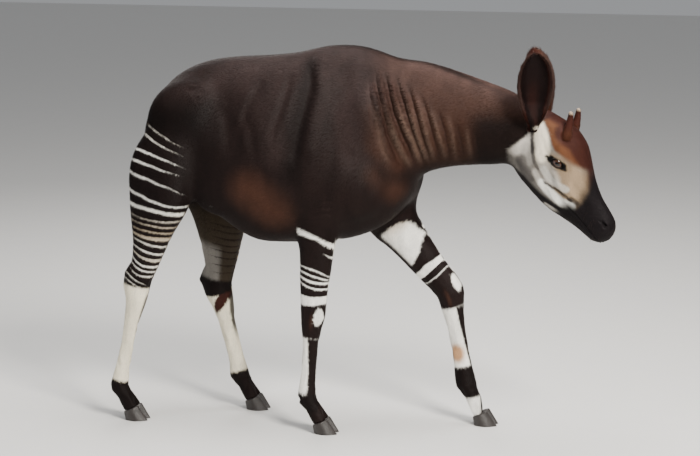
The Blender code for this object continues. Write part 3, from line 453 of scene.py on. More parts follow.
# How much taller the folds stand in the skin than in the table, and the table's tallest fold.
FOLD_RISE = 1.4
TALLEST_FOLD = 0.0058
# Folds of the trunk: the furrow behind the shoulder, the ribs, the elbow, the hip, the flank and the breast.
BODY_FOLDS = (
    (((-0.122, 0.08, 1.455), (-0.120, 0.147, 1.341), (-0.146, 0.193, 1.195), (-0.172, 0.215, 1.050)),
     0.036, -0.0080),
    (((-0.075, 0.12, 1.450), (-0.072, 0.17, 1.330), (-0.096, 0.20, 1.200), (-0.120, 0.21, 1.080)),
     0.040, 0.0046),
    (((-0.165, 0.16, 1.420), (-0.176, 0.20, 1.320), (-0.210, 0.22, 1.190)), 0.026, 0.0026),
    (((-0.190, 0.16, 1.440), (-0.215, 0.20, 1.300), (-0.262, 0.22, 1.130)), 0.026, -0.0042),
    (((-0.290, 0.13, 1.395), (-0.331, 0.17, 1.318), (-0.364, 0.19, 1.240), (-0.385, 0.20, 1.150)),
     0.028, -0.0042),
    (((-0.330, 0.13, 1.380), (-0.372, 0.17, 1.300), (-0.405, 0.19, 1.200)), 0.026, 0.0024),
    (((-0.110, 0.17, 0.868), (-0.060, 0.19, 0.880), (-0.005, 0.17, 0.890)), 0.010, -0.0028),
    (((-0.110, 0.17, 0.892), (-0.060, 0.19, 0.904), (-0.005, 0.17, 0.914)), 0.010, -0.0028),
    (((-0.110, 0.17, 0.916), (-0.060, 0.19, 0.928), (-0.005, 0.17, 0.938)), 0.010, -0.0028),
    (((-0.583, 0.15, 1.347), (-0.547, 0.17, 1.312)), 0.036, -0.0050),
    (((-0.600, 0.15, 1.365), (-0.570, 0.16, 1.372)), 0.028, 0.0034),
    (((-0.455, 0.19, 1.300), (-0.430, 0.21, 1.180), (-0.420, 0.21, 1.060)), 0.036, -0.0040),
    (((-0.400, 0.19, 1.280), (-0.372, 0.22, 1.180), (-0.350, 0.22, 1.080)), 0.030, 0.0036),
    (((-0.350, 0.20, 1.250), (-0.320, 0.22, 1.140), (-0.300, 0.22, 1.020)), 0.026, -0.0022),
    (((0.040, 0.15, 1.120), (0.000, 0.18, 1.020), (-0.050, 0.18, 0.930)), 0.045, 0.0040),
    (((0.150, 0.15, 1.080), (0.130, 0.17, 0.980), (0.060, 0.17, 0.900)), 0.035, -0.0036),
)
# Forms of the head: the cheek, brow, nose, lips and the small bones and veins under the skin.
FACE_FORMS = (
    (((0.100, 0.075, -0.120), (0.160, 0.065, -0.112), (0.215, 0.055, -0.098)), 0.030, 0.0030),
    (((0.205, 0.075, -0.026), (0.260, 0.060, -0.040), (0.310, 0.052, -0.050)), 0.014, 0.0030),
    (((0.215, 0.070, -0.052), (0.270, 0.058, -0.066), (0.318, 0.050, -0.072)), 0.012, -0.0024),
    (((0.205, 0.070, -0.078), (0.262, 0.056, -0.090), (0.330, 0.045, -0.088)), 0.010, 0.0022),
    (((0.235, 0.060, 0.040), (0.300, 0.050, 0.030), (0.370, 0.040, 0.024)), 0.022, 0.0022),
    (((0.250, 0.060, 0.006), (0.320, 0.050, -0.002), (0.390, 0.045, -0.004)), 0.020, -0.0024),
    (((0.060, 0.075, 0.010), (0.100, 0.082, 0.000), (0.128, 0.085, -0.006)), 0.016, -0.0022),
    (((0.075, 0.078, -0.035), (0.115, 0.082, -0.045), (0.165, 0.080, -0.046)), 0.018, 0.0022),
)
# The line between the lips, and the pit of the nostril.
LIPS = ((0.322, 0.047, -0.064), (0.345, 0.048, -0.056), (0.380, 0.047, -0.049), (0.420, 0.046, -0.044),
        (0.460, 0.042, -0.041), (0.490, 0.030, -0.038), (0.508, 0.012, -0.036), (0.510, 0.0, -0.036))
NOSTRIL = ((0.444, 0.039, 0.020), (0.456, 0.038, 0.021), (0.468, 0.034, 0.019))
# Rims of the lips and nostrils, the line of the mouth and the pit of the nostril.
MOUTH_FORMS = (
    (tuple((a - 0.001, b, c + 0.0055) for a, b, c in LIPS[1:]), 0.0065, 0.0011),
    (tuple((a, b * 0.98, c - 0.0065) for a, b, c in LIPS[1:]), 0.0065, 0.0014),
    (LIPS, 0.0036, -0.0034),
    (((0.440, 0.037, 0.030), (0.456, 0.036, 0.032), (0.473, 0.032, 0.026), (0.480, 0.030, 0.014)),
     0.0060, 0.0022),
    (((0.443, 0.041, 0.012), (0.458, 0.040, 0.009), (0.470, 0.036, 0.009)), 0.0050, 0.0016),
    (NOSTRIL, 0.0050, -0.0085),
    (((0.432, 0.043, 0.014), (0.446, 0.040, 0.018)), 0.0034, -0.0030),
)


def path_sum(points, rows, frame_of, step, taper):
    """What paths add to the points near them. Each row is the path, its reach and its height, and the height
    falls to nothing towards both ends of the path."""
    total = np.zeros(len(points))
    for path, reach, height in rows:
        for side in (-1, 1):
            placed = np.array([frame_of(a, side * b, c) for a, b, c in path])
            room = reach + 0.05
            near = ((points > placed.min(0) - room) & (points < placed.max(0) + room)).all(1)
            if not near.any():
                continue
            close = points[near]
            line = snapped(close, placed, step)
            share = near_path(close, line, reach)
            if taper:
                fade = min(taper, 0.35 * np.linalg.norm(line[-1] - line[0]))
                for end in (line[0], line[-1]):
                    share = share * ramp(np.linalg.norm(close - end, axis=1), 0.0, fade)
            total[near] += share * height
    return total


def raise_paths(skin, rows, frame_of, step=0.006, taper=0.0):
    """Raise or sink the skin along paths."""
    points = points_of(skin)
    rise = path_sum(points, rows, frame_of, step, taper)
    put_points(skin, points + normals_of(skin) * rise[:, None])


def neck_folds():
    """The folds of the neck, laid on the side of a neck that narrows towards the head."""
    rows = []
    for path, reach, height in NECK_FOLDS:
        placed = []
        for x, z in path:
            half_width = 0.140 - 0.09 * (x - 0.15)
            roundness = math.sqrt(max(1 - ((z - 1.2) / 0.26) ** 2, 0.05))
            placed.append((x, half_width * roundness, z))
        rows.append((placed, reach, height * FOLD_RISE))
    return rows


def ear_place(side, name):
    """Base, direction and opening of an ear."""
    base = on_head(EAR_BASE[0], side * EAR_BASE[1], EAR_BASE[2])
    way, facing = (Vector(row) for row in EAR_POSE[name])
    way.normalize()
    return base, way, (facing - way * facing.dot(way)).normalized()


def eye_axes(side):
    """Directions out of an eye, along its slit and up across it."""
    turn = HEAD.to_3x3()
    outward = (turn @ Vector((0.20, side * 0.96, 0.16))).normalized()
    along = turn @ Vector((0.92, 0.0, 0.38))
    along = (along - outward * along.dot(outward)).normalized()
    upward = turn @ Vector((0, 0, 1))
    upward = (upward - outward * upward.dot(outward) - along * upward.dot(along)).normalized()
    return outward, along, upward


def eye_middle(side):
    low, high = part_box("eye_right" if side < 0 else "eye_left")
    return (low + high) / 2


def eye_distance(points):
    """Distance of each point to the middle of the nearer eye."""
    return np.minimum(*(np.linalg.norm(points - np.array(eye_middle(side)), axis=1) for side, _ in SIDES))


# Lids: their thickness, the opening between them, how much lower the lower one reaches, how much the opening
# narrows towards its corners, and how far its front corner droops.
LID = 0.0030
EYE_HALF_LENGTH = 0.0232
EYE_HALF_HEIGHT = 0.0158
LOWER_LID = 0.86
LID_NARROWING = 0.20
LID_DROOP = -0.0025
LID_REACH = 0.040
EYE_SOCKET = 0.0045


def lid_edge(turn):
    """The edge of the lids as (along, upward), from the back corner round over the top."""
    along = math.cos(turn)
    high = math.sin(turn)
    shape = 1.0 if high > 0 else LOWER_LID
    droop = LID_DROOP * max(0.0, along) ** 2
    height = high * EYE_HALF_HEIGHT * shape * (1 - LID_NARROWING * along * along)
    return along * EYE_HALF_LENGTH, height + droop


def set_lids(skin):
    """Draw the skin over each eyeball as lids, and open it between them."""
    points = points_of(skin)
    for side, _ in SIDES:
        centre = np.array(eye_middle(side))
        local = points - centre
        outward, along, upward = (local @ np.array(axis) for axis in eye_axes(side))
        near = (np.hypot(along, upward) < LID_REACH) & (outward > -0.005)
        level = np.abs(along) / EYE_HALF_LENGTH
        half = EYE_HALF_HEIGHT * np.where(upward > 0, 1.0, LOWER_LID)
        droop = LID_DROOP * np.clip(along / EYE_HALF_LENGTH, 0, 1) ** 2
        inside = np.hypot(level, (upward - droop) / (half * (1 - LID_NARROWING * np.clip(level, 0, 1) ** 2)))
        length = np.maximum(np.linalg.norm(local, axis=1), 1e-6)
        lid = EYE_RADIUS + LID * ramp(inside, 1.9, 1.25) + SKIN_GROWTH
        cover = ramp(inside, 2.1, 1.45) * near
        gap = ramp(inside, 1.03, 0.90) * near
        radius = length + (np.maximum(length, lid) - length) * cover
        radius = radius * (1 - gap) + (EYE_RADIUS - EYE_SOCKET) * gap
        points = centre + local * (radius / length)[:, None]
    put_points(skin, points)


def refine(skin, chosen):
    """Cut each face that starts at a chosen point into four."""
    pick(skin)
    starts = read(skin.data.polygons, "loop_start", 1, np.int32)[:, 0]
    picked = chosen[corners_of(skin)[starts]]
    skin.data.vertices.foreach_set("select", np.zeros(len(skin.data.vertices), bool))
    skin.data.edges.foreach_set("select", np.zeros(len(skin.data.edges), bool))
    skin.data.polygons.foreach_set("select", picked)
    bpy.ops.object.mode_set(mode="EDIT")
    bpy.ops.mesh.select_mode(type="FACE")
    bpy.ops.mesh.subdivide(number_cuts=1, smoothness=0.0)
    bpy.ops.object.mode_set(mode="OBJECT")


def from_nostril(face):
    """Distance to the nostril, in the side view of the head."""
    return np.hypot(face[:, 0] - 0.458, face[:, 2] - 0.020)


def delicate(points):
    """1 round the eyes, the mouth and the nostrils, where the skin is made finest."""
    face = in_head(points)
    near_eye = ramp(eye_distance(points), 0.046, 0.040)
    from_lips = np.abs(face[:, 2] + 0.05 - 0.12 * (face[:, 0] - 0.40))
    lips = ramp(from_lips, 0.030, 0.022) * ramp(face[:, 0], 0.300, 0.310)
    nose = ramp(from_nostril(face), 0.030, 0.024)
    return np.maximum(np.maximum(near_eye, lips), nose) * ramp(points[:, 0], 0.60, 0.62)


# How fine the skin stays on the trunk, the folds, the haunch, the legs, the head and round its openings.
FINENESS = {"trunk": 0.45, "folds": 0.80, "haunch": 0.86, "leg": 0.90, "head": 0.96, "delicate": 0.995}


def thin_out(skin):
    """Bring the skin under its count of faces, and keep the face and the legs finest."""
    points = points_of(skin)
    body = points - SHIFT
    x, _, z = body.T
    head, leg = zones(body, in_head(points))
    shares = {
        "trunk": np.ones(len(points)),
        "folds": ramp(x, -0.30, -0.20) * ramp(x, 0.55, 0.45) * ramp(z, 0.98, 1.06),
        "haunch": ramp(x, -0.50, -0.60) * ramp(z, 1.20, 1.10),
        "leg": leg,
        "head": head,
        "delicate": delicate(points),
    }
    fine = np.round(np.maximum.reduce([FINENESS[name] * share for name, share in shares.items()]), 3)
    group = skin.vertex_groups.new(name="fine")
    for level in np.unique(fine):
        group.add(np.nonzero(fine == level)[0].tolist(), float(level), "REPLACE")
    triangles = sum(len(face.vertices) - 2 for face in skin.data.polygons)
    apply(skin, "DECIMATE", ratio=SKIN_TRIANGLES / triangles, use_collapse_triangulate=True,
          vertex_group="fine", invert_vertex_group=True, vertex_group_factor=1.0)
    skin.vertex_groups.clear()


def dye(name, strength=1.0):
    """A colour of the coat, made stronger or weaker."""
    return np.array(getattr(bpy.context.scene.okapi_coat, name)) * strength


def layered(colours, *layers):
    """Colours laid over by others in turn. Each layer is a colour and its amount."""
    for colour, amount in layers:
        colours = colours + (np.array(colour) - colours) * np.clip(amount, 0, 1)[:, None]
    return colours


# Patches of the trunk: a path on the side, its reach, its dye, how strong that dye is and how much of it.
PATCHES = (
    (((-0.34, 0.21, 0.95), (-0.29, 0.21, 0.91), (-0.25, 0.20, 0.87)), 0.13, "russet", 1.25, 0.72),
    (((0.11, 0.12, 1.25), (0.14, 0.14, 1.15), (0.20, 0.12, 1.08)), 0.075, "russet", 1.15, 0.50),
    (((0.04, 0.13, 1.38), (0.04, 0.17, 1.24), (0.06, 0.17, 1.10)), 0.090, "sable_and_sunlit_top", 1.0, 0.60),
    (((0.12, 0.13, 1.03), (0.20, 0.10, 0.97)), 0.080, "russet", 1.1, 0.60),
    (((-0.22, 0.20, 1.38), (-0.25, 0.22, 1.22), (-0.24, 0.22, 1.10)), 0.080, "sable_and_sunlit_top", 0.9, 0.45),
    (((-0.60, 0.14, 1.38), (-0.46, 0.15, 1.36)), 0.080, "sable_and_sunlit_top", 0.8, 0.35),
    # Painted shade in the furrow behind the shoulder.
    (((-0.122, 0.10, 1.44), (-0.120, 0.15, 1.34), (-0.146, 0.19, 1.20), (-0.17, 0.21, 1.02)),
     0.060, "dark", 0.35, 0.75),
)


def body_colours(body, normals):
    """The dark coat, paler and warmer on top of the neck and withers as painted sunlight, with russet on the
    lower flank.
    """
    x, y, z = body.T
    level = normals[:, 2]
    haunch = ramp(x, -0.38, -0.58)
    # Painted sunlight: where the back and neck face up, they are made paler and warmer.
    top = ramp(level, 0.05, 0.85) * ramp(z, 1.10, 1.32) * (1 - 0.6 * haunch)
    neck = ramp(x, 0.06, 0.32) * ramp(z, 1.00, 1.16) * ramp(x, 0.80, 0.70)
    # Painted shadow cast by the head and ear on the neck below them.
    throat_shadow = ramp(x, 0.44, 0.55) * ramp(z, 1.30, 1.22)
    colours = layered(
        np.tile(dye("dark"), (len(body), 1)),
        (dye("dark", 0.45), haunch * ramp(z, 1.36, 1.22)),
        (dye("sable_and_sunlit_top"), top * 0.95),
        (dye("russet", 0.62), neck * 0.90),
        # Painted sunlight on the upward-facing top of the neck.
        (dye("sunlit_nape"), neck * ramp(level, 0.10, 0.75)),
        (dye("dark", 0.4), throat_shadow * 0.90),
    )
    for path, reach, name, strength, amount in PATCHES:
        for side, _ in SIDES:
            placed = [(a, side * b, c) for a, b, c in path]
            colours = layered(colours, (dye(name, strength), near_path(body, placed, reach) * amount))
    # Painted highlights on the crests of the neck's folds, and painted shade in the furrows between them.
    flat = np.stack([x, 0 * x, z], 1)
    sides = ramp(np.abs(normals[:, 1]), 0.15, 0.45) * neck
    for path, reach, height in NECK_FOLDS:
        share = near_path(flat, [(a, 0, c) for a, c in path], reach) * sides
        for a, c in (path[0], path[-1]):
            share = share * ramp(np.hypot(x - a, z - c), 0.0, 0.05)
        if height > 0:
            crest_highlight = share * height / TALLEST_FOLD * ramp(z, 1.34, 1.16) * 0.75
            colours = layered(colours, (dye("fold_highlight"), crest_highlight))
        else:
            colours = layered(colours, (dye("dark", 0.35), share * 0.60))
    from_spine = np.abs(y + 0.11 * ramp(x, 0.25, 0.75))
    spine = ramp(from_spine, 0.030, 0.006) * ramp(level, 0.55, 0.85)
    return layered(colours, (dye("dark", 0.55), spine * ramp(z, 1.0, 1.2) * 0.8))


# Marks of the face as paths along and up the head: the reach, the dye, how strong it is and how much of it.
FACE_MARKS = (
    (((0.200, -0.020), (0.260, 0.000), (0.330, 0.010)), 0.095, "taupe", 1.0, 1.0),
    (((0.150, -0.040), (0.190, -0.040), (0.215, -0.045)), 0.040, "cheek", 1.0, 0.85),
    (((0.026, -0.045), (0.046, -0.090)), 0.050, "cheek", 1.35, 0.95),
    (((0.070, -0.062), (0.100, -0.085)), 0.035, "cheek", 0.8, 0.6),
    # Painted shade on the lower cheek where it turns under towards the jaw.
    (((0.090, -0.110), (0.120, -0.120), (0.160, -0.114)), 0.030, "smoke", 1.3, 0.75),
    (((0.015, 0.018), (0.060, 0.010), (0.100, -0.006), (0.118, -0.028)), 0.036, "cream", 1.0, 1.0),
    (((0.160, -0.082), (0.200, -0.090)), 0.022, "cheek", 1.2, 0.80),
    (((0.205, -0.088), (0.235, -0.088), (0.265, -0.082), (0.300, -0.070), (0.326, -0.054), (0.334, -0.046)),
     0.024, "white", 1.0, 1.0),
    (((0.165, -0.050), (0.200, -0.052), (0.240, -0.040), (0.272, -0.024)), 0.018, "white", 0.75, 0.60),
    # Painted shade along the crease that runs back from the mouth.
    (((0.210, -0.075), (0.233, -0.067), (0.262, -0.050), (0.286, -0.040), (0.318, -0.034)),
     0.0075, "muzzle", 1.5, 0.85),
    (((0.312, -0.028), (0.335, -0.022)), 0.013, "muzzle", 1.5, 0.70),
    # This row and the two after it are painted shade along the line from the ear's base under the eye to
    # that crease.
    (((0.026, -0.008), (0.045, -0.024), (0.063, -0.034), (0.089, -0.050)), 0.0105, "muzzle", 2.0, 0.90),
    (((0.089, -0.050), (0.123, -0.066), (0.150, -0.068)), 0.010, "smoke", 0.8, 0.75),
    (((0.150, -0.068), (0.180, -0.072), (0.210, -0.076)), 0.008, "smoke", 1.3, 0.60),
    (((0.277, -0.136), (0.309, -0.119), (0.336, -0.105)), 0.012, "cheek", 1.2, 0.9),
    (((0.130, -0.012), (0.144, -0.007)), 0.0085, "muzzle", 0.5, 0.95),
    (((0.196, 0.014), (0.211, 0.019)), 0.0085, "muzzle", 0.5, 0.95),
)
# Edges of the face. The brow and the edge of the painted shade under the jaw are heights up the head for
# places along it, and the back of the cheek and the edge of the dark muzzle are places along it for heights
# up.
BROW = ((-0.020, 0.045), (0.042, 0.042), (0.072, 0.038), (0.101, 0.031), (0.130, 0.028), (0.152, 0.036),
        (0.178, 0.042), (0.205, 0.048), (0.230, 0.062), (0.260, 0.085), (0.300, 0.110))
JAW_SHADE_EDGE = ((0.060, -0.165), (0.111, -0.153), (0.147, -0.134), (0.194, -0.131), (0.235, -0.122), (0.270, -0.108),
       (0.312, -0.086), (0.347, -0.067), (0.400, -0.050))
CHEEK = ((-0.175, 0.100), (-0.167, 0.077), (-0.140, 0.043), (-0.119, 0.033), (-0.084, 0.031),
         (-0.047, 0.028), (-0.009, 0.020), (0.020, 0.018), (0.090, 0.010))
NOSE = ((-0.110, 0.335), (-0.078, 0.328), (-0.050, 0.345), (-0.034, 0.350), (-0.002, 0.344), (0.039, 0.324),
        (0.071, 0.294), (0.100, 0.270))
# The deepest colour of the forehead, the dark rim of the eye, and the black painted shade in the pit of the
# nostril.
FOREHEAD = ((0.090, 0, 0.086), (0.115, 0, 0.090), (0.150, 0, 0.104), (0.235, 0, 0.097))
EYE_RIM = ((0.148, 0.090, -0.004), (0.172, 0.092, 0.008), (0.196, 0.086, 0.018))
NOSTRIL_SHADE = (0.002, 0.0015, 0.002)


def edge_at(edge, value):
    """Place of an edge of the face for the given values."""
    table = np.array(edge)
    return np.interp(value, table[:, 0], table[:, 1])


def head_colours(colours, face, head):
    """Pale cheeks and jaw, a chestnut forehead, a dark nose, lips and midline, and painted shade under the
    jaw, in creases and the nostril.
    """
    along, side, up = face[:, 0], np.abs(face[:, 1]), face[:, 2]
    flat = np.stack([along, 0 * along, up], 1)
    half = np.stack([along, side, up], 1)
    tint = np.tile(dye("cheek", 0.45), (len(face), 1))
    # Painted shade under the lower edge of the jaw, in the muzzle's dark.
    tint = layered(tint, (dye("muzzle", 1.2), ramp(edge_at(JAW_SHADE_EDGE, along) - up, -0.012, 0.008)))
    flank = ramp(side, 0.010, 0.024)
    for path, reach, name, strength, amount in FACE_MARKS:
        distance = path_distance(flat, [(a, 0, c) for a, c in path])
        tint = layered(tint, (dye(name, strength), ramp(distance, reach, reach * 0.5) * amount * flank))
    softness = 0.005 + 0.009 * ramp(along, 0.13, 0.20)
    brow = ramp((up - edge_at(BROW, along)) / softness, -1.0, 1.2)
    deep = np.maximum(ramp(near_path(flat, FOREHEAD, 0.050), 0.02, 0.55), ramp(side, 0.052, 0.034))
    ridge = ramp(side, 0.052, 0.022) * ramp(up, 0.026, 0.052)
    lip = ramp(up + 0.10 * (along - 0.35), -0.034, -0.060) * ramp(along, 0.300, 0.345)
    tint = layered(
        tint,
        (dye("chestnut"), brow),
        (dye("maroon"), brow * deep * 0.95),
        (dye("maroon", 0.75), ridge * 0.95),
        (dye("muzzle"), ramp(along - edge_at(NOSE, up), -0.040, 0.012)),
        (dye("muzzle", 0.7), lip),
        (dye("muzzle", 0.3), ramp(near_path(half, EYE_RIM, 0.026), 0.10, 0.40)),
        (NOSTRIL_SHADE, near_path(half, NOSTRIL, 0.008)),
    )
    pale = ramp(along - edge_at(CHEEK, up), -0.005, 0.005) * head
    colours = layered(colours, (dye("maroon"), ramp(up, 0.030, 0.060) * head * 0.6))
    return colours + (tint - colours) * pale[:, None]


def hind_grounds(at, front, outer, dark):
    """Layers of a hind leg: a taupe inner side with a pale strip greyed as painted shade, a dark hock, a
    cream cannon darkened partly as painted shade, and a dark fetlock.
    """
    inner = ramp(outer, 0.15, -0.35)
    edge = np.where(outer > 0, 2.015 - 0.05 * front, 2.06)
    oval = np.hypot((at - 2.130 + 0.19 * (front - 0.57)) / 0.078, (front - 0.57) / 0.46)
    strip = ramp(front, 0.90, 0.97) * ramp(at, 2.02, 2.06) * ramp(at, 2.62, 2.40)
    return (
        (dye("taupe", 0.13), ramp(at, 0.95, 1.25) * inner),
        # A pale strip at the back of the inner side, greyed as painted shade.
        (dye("cheek", 0.55), ramp(at, 1.48, 1.60) * inner * ramp(front, 0.72, 0.50) * 0.9),
        (dark * 0.6, ramp(at, 1.86, 1.90)),
        # The cannon's cream is partly its own colour and partly painted shade, darker and warmer than white.
        (dye("white") * np.array((0.92, 0.87, 0.74)), ramp(at - edge, -0.008, 0.008)),
        (dye("maroon", 0.8), ramp(oval, 1.10, 0.90) * inner),
        (dark, strip * 0.9),
        (dark * 0.6, ramp(at, 2.93, 2.95) * ramp(at, 3.22, 3.20)),
    )


def fore_grounds(at, front, outer, dark):
    """Layers of a foreleg: the white patch above the knee, the ovals at the knee, and the white cannon with
    its dark stripe, tan spot and dark fetlock."""
    inner = ramp(outer, 0.15, -0.35)
    outside = outer > 0
    upper = np.interp(front, (0.0, 0.17, 0.82, 0.90, 1.0, 1.1), (1.12, 1.12, 1.09, 1.12, 1.30, 1.42))
    lower = np.interp(front, (0.0, 0.19, 0.60, 1.1), (1.56, 1.55, 1.50, 1.36))
    patch = ramp(at - upper, -0.008, 0.008) * ramp(at - lower, 0.008, -0.008) * ramp(outer, 0.10, -0.10)
    # The patch stops short of the back edge, and the dark left there is painted shade on the side that turns
    # away.
    patch *= ramp(front, 0.08, 0.18)
    yellow = ramp(at - upper, 0.16, 0.0) * ramp(front, 0.15, 0.5) * ramp(front, 1.0, 0.7)
    knee = np.hypot((at - 2.01) / 0.098, (front - 0.80) / 0.165)
    knee_front = np.hypot((at - 1.965) / 0.085, (front - 1.03) / 0.12)
    cannon = ramp(at - np.where(outside, 2.27, 2.165), -0.012, 0.012)
    line = np.where(outside, np.interp(at, (2.28, 2.59, 2.86), (0.40, 0.54, 0.58)),
                    np.interp(at, (2.17, 2.30, 2.50, 2.75), (0.74, 0.80, 0.88, 0.98)))
    stripe = ramp(front - line, -0.02, 0.03) * np.maximum(ramp(outer, -0.1, 0.1), ramp(at, 2.98, 2.94))
    warm = ramp(np.hypot(at - 2.06, front - 0.55), 0.14, 0.0)
    tan = ramp(np.hypot((at - 2.64) * 0.35, (front - 0.33) * 0.07), 0.055, 0.0)
    return (
        (dye("white"), patch),
        (dye("stripe_cream"), patch * yellow * 0.6),
        (dye("dark", 0.9), ramp(at - np.where(outside, 1.93, 1.79), -0.01, 0.01)),
        (dye("russet"), warm * 0.5),
        (dye("white"), ramp(knee, 1.06, 0.94) * ramp(outer, -0.2, 0.1)),
        (dye("white"), ramp(knee_front, 1.1, 0.9) * inner),
        (dye("white"), cannon),
        (dark, stripe * cannon),
        (dye("tan"), ramp(tan, 0.0, 0.7) * 0.95 * inner),
        (dark * 0.6, ramp(at - np.where(outside, 2.93, 2.78), 0.0, 0.02) * ramp(at, 3.10, 3.08)),
    )


def leg_colours(colours, kind, at, front, outer, amount):
    """The plain grounds of a leg, on which its stripes are drawn."""
    dark = dye("dark", 0.75)
    grounds = hind_grounds if kind == "hind" else fore_grounds
    layers = ((dark, ramp(at, -0.3, 0.3) * 0.8), *grounds(at, front, outer, dark))
    return colours + (layered(colours, *layers) - colours) * amount[:, None]


def leg_masks(body):
    """How much each point belongs to each leg, for its markings."""
    result = {}
    for leg in LEGS:
        at, front, outer = leg_place(body, leg)
        side = -1 if leg.endswith("right") else 1
        flank = ramp(side * body[:, 1], -0.004, 0.012)
        if leg.startswith("hind"):
            haunch = ramp(body[:, 0], -0.40, -0.50) * ramp(at, -0.40, -0.25) * ramp(front, 1.55, 1.25)
            amount = haunch * flank * ramp(at, -0.35, -0.1)
        else:
            on_leg = ramp(np.abs(front - 0.5), 0.72, 0.64)
            edges = ramp(front, 0.08, 0.13) * ramp(front, 1.10, 1.04)
            on_leg *= np.maximum(edges, ramp(body[:, 2], 0.75, 0.72))
            amount = ramp(at, 0.98, 1.06) * flank * on_leg
        result[leg] = (at, front, outer, amount)
    return result


# A stripe field where no stripe is: the count of stripes, half the share of the space, and the tone.
NO_STRIPE = (0.0, -0.6, 0.0)


def mark(places, normals):
    """The colours and the stripe fields that the material of skin and coat draws."""
    body = places - SHIFT
    face = in_head(places)
    head, _ = zones(body, face)
    colours = body_colours(body, normals)
    fields = {name: np.tile(NO_STRIPE, (len(body), 1)) for name in ("outer", "inner")}
    blend = np.zeros((len(body), 3))
    for leg, (at, front, outer, amount) in leg_masks(body).items():
        kind = leg.split("_")[0]
        colours = leg_colours(colours, kind, at, front, outer, amount)
        own = amount > blend[:, 1]
        for name, kept in fields.items():
            values = np.stack(stripe_field(at, front, STRIPES[f"{kind}_{name}"], kind), 1)
            kept[own] = values[own]
        blend[own, 0] = outer[own]
        blend[own, 1] = amount[own]
    return {"tint": head_colours(colours, face, head), **fields, "blend": blend, "place": places}


def store(piece, fields):
    """Keep fields as vector attributes of a mesh."""
    for name, values in fields.items():
        attribute = piece.data.attributes.new(name, "FLOAT_VECTOR", "POINT")
        attribute.data.foreach_set("vector", values.astype(np.float32).ravel())


def put_unwrap(piece, uv):
    """Set the unwrap of a mesh, given for each loop."""
    layer = piece.data.uv_layers.new(name="OFBake")
    layer.data.foreach_set("uv", uv.astype(np.float32).ravel())


# Strips of the unwrap for the trunk, the head, the legs and the tail: left edge, width, foot and height.
STRIPS = np.array(((0.02, 0.46, 0.36, 0.60), (0.52, 0.30, 0.36, 0.60), (0.02, 0.20, 0.02, 0.30),
                   (0.26, 0.20, 0.02, 0.30), (0.50, 0.20, 0.02, 0.30), (0.74, 0.10, 0.02, 0.30),
                   (0.86, 0.10, 0.36, 0.60)))
HEAD_STRIP = 1
FIRST_LEG_STRIP = 2
TAIL_STRIP = 6


def skin_unwrap(skin):
    """Unroll the trunk, the head, the tail and each leg round its own middle, each on its own strip."""
    points = points_of(skin)
    body = points - SHIFT
    face = in_head(points)
    x, y, z = body.T
    head, _ = zones(body, face)
    chart = np.zeros(len(points), int)
    along = (x + 0.95) / 1.85
    level = np.interp(x, (-0.78, -0.33, 0.10, 0.45, 0.75), (1.17, 1.05, 1.12, 1.22, 1.20))
    turn = np.arctan2(y, z - level)
    for index, leg in enumerate(LEGS):
        at, front, outer = leg_place(body, leg)
        side = -1 if leg.endswith("right") else 1
        own = (side * y > 0) & (z < 0.80) & (at > 1.15) & (np.abs(front - 0.5) < 0.8)
        chart[own] = FIRST_LEG_STRIP + index
        along[own] = (at[own] - 1.0) / 2.6
        turn[own] = np.arctan2(outer[own], front[own] - 0.5)
    own = head > 0.5
    chart[own] = HEAD_STRIP
    along[own] = (face[own, 0] + 0.10) / 0.64
    turn[own] = np.arctan2(face[own, 1], face[own, 2] + 0.03)
    own = (x < -0.775) & (np.abs(y) < 0.075) & (z > 0.88)
    chart[own] = TAIL_STRIP
    along[own] = (z[own] - 0.88) / 0.45
    turn[own] = np.arctan2(y[own], x[own] + 0.835)
    corners, loops = triangles_of(skin)
    turns = turn[corners]
    turns = np.where(turns - turns[:, :1] > math.pi, turns - 2 * math.pi, turns)
    turns = np.where(turns - turns[:, :1] < -math.pi, turns + 2 * math.pi, turns)
    strip = STRIPS[chart[corners].max(1)]
    left, width, foot, height = (strip[:, [column]] for column in range(4))
    uv = np.zeros((len(skin.data.loops), 2))
    uv[loops, 0] = left + width * (0.5 + turns / (2 * math.pi) * 0.92)
    uv[loops, 1] = foot + height * np.clip(along[corners], 0, 1)
    return np.clip(uv, 0.001, 0.999)


def hair_lie(places):
    """Way in which the coat lies: back along the body and neck, down the legs, and up from the nose."""
    body = places - SHIFT
    x, _, z = body.T
    head, leg = zones(body, in_head(places))
    nose = HEAD.to_3x3() @ Vector((-0.98, 0.0, -0.14))
    haunch = ramp(x, -0.40, -0.62)
    shoulder = ramp(x, -0.12, 0.04) * ramp(x, 0.30, 0.16) * ramp(z, 1.28, 1.10)
    return layered(
        np.tile((-0.93, 0.0, -0.36), (len(places), 1)),
        ((-0.30, 0.0, -0.95), haunch),
        ((-0.55, 0.0, -0.83), shoulder),
        ((-0.10, 0.0, -0.99), leg),
        (nose, head),
    )


# Tufts: how far they swing to the side, the range of their sizes, how deep they start, where their middle
# stands along them and above the skin, how wide it is, and half their patch in the unwrap.
TUFT_SWING = 0.20
TUFT_SIZES = (0.70, 1.25)
TUFT_DEPTH = 0.0003
TUFT_MIDDLE = 0.5
TUFT_MIDDLE_RISE = 0.62
TUFT_MIDDLE_HALF_WIDTH = 0.42
TUFT_PATCH = 0.0015
TUFT_POINTS = 5
TUFT_CORNERS = (0, 1, 2, 3, 3, 2, 4)


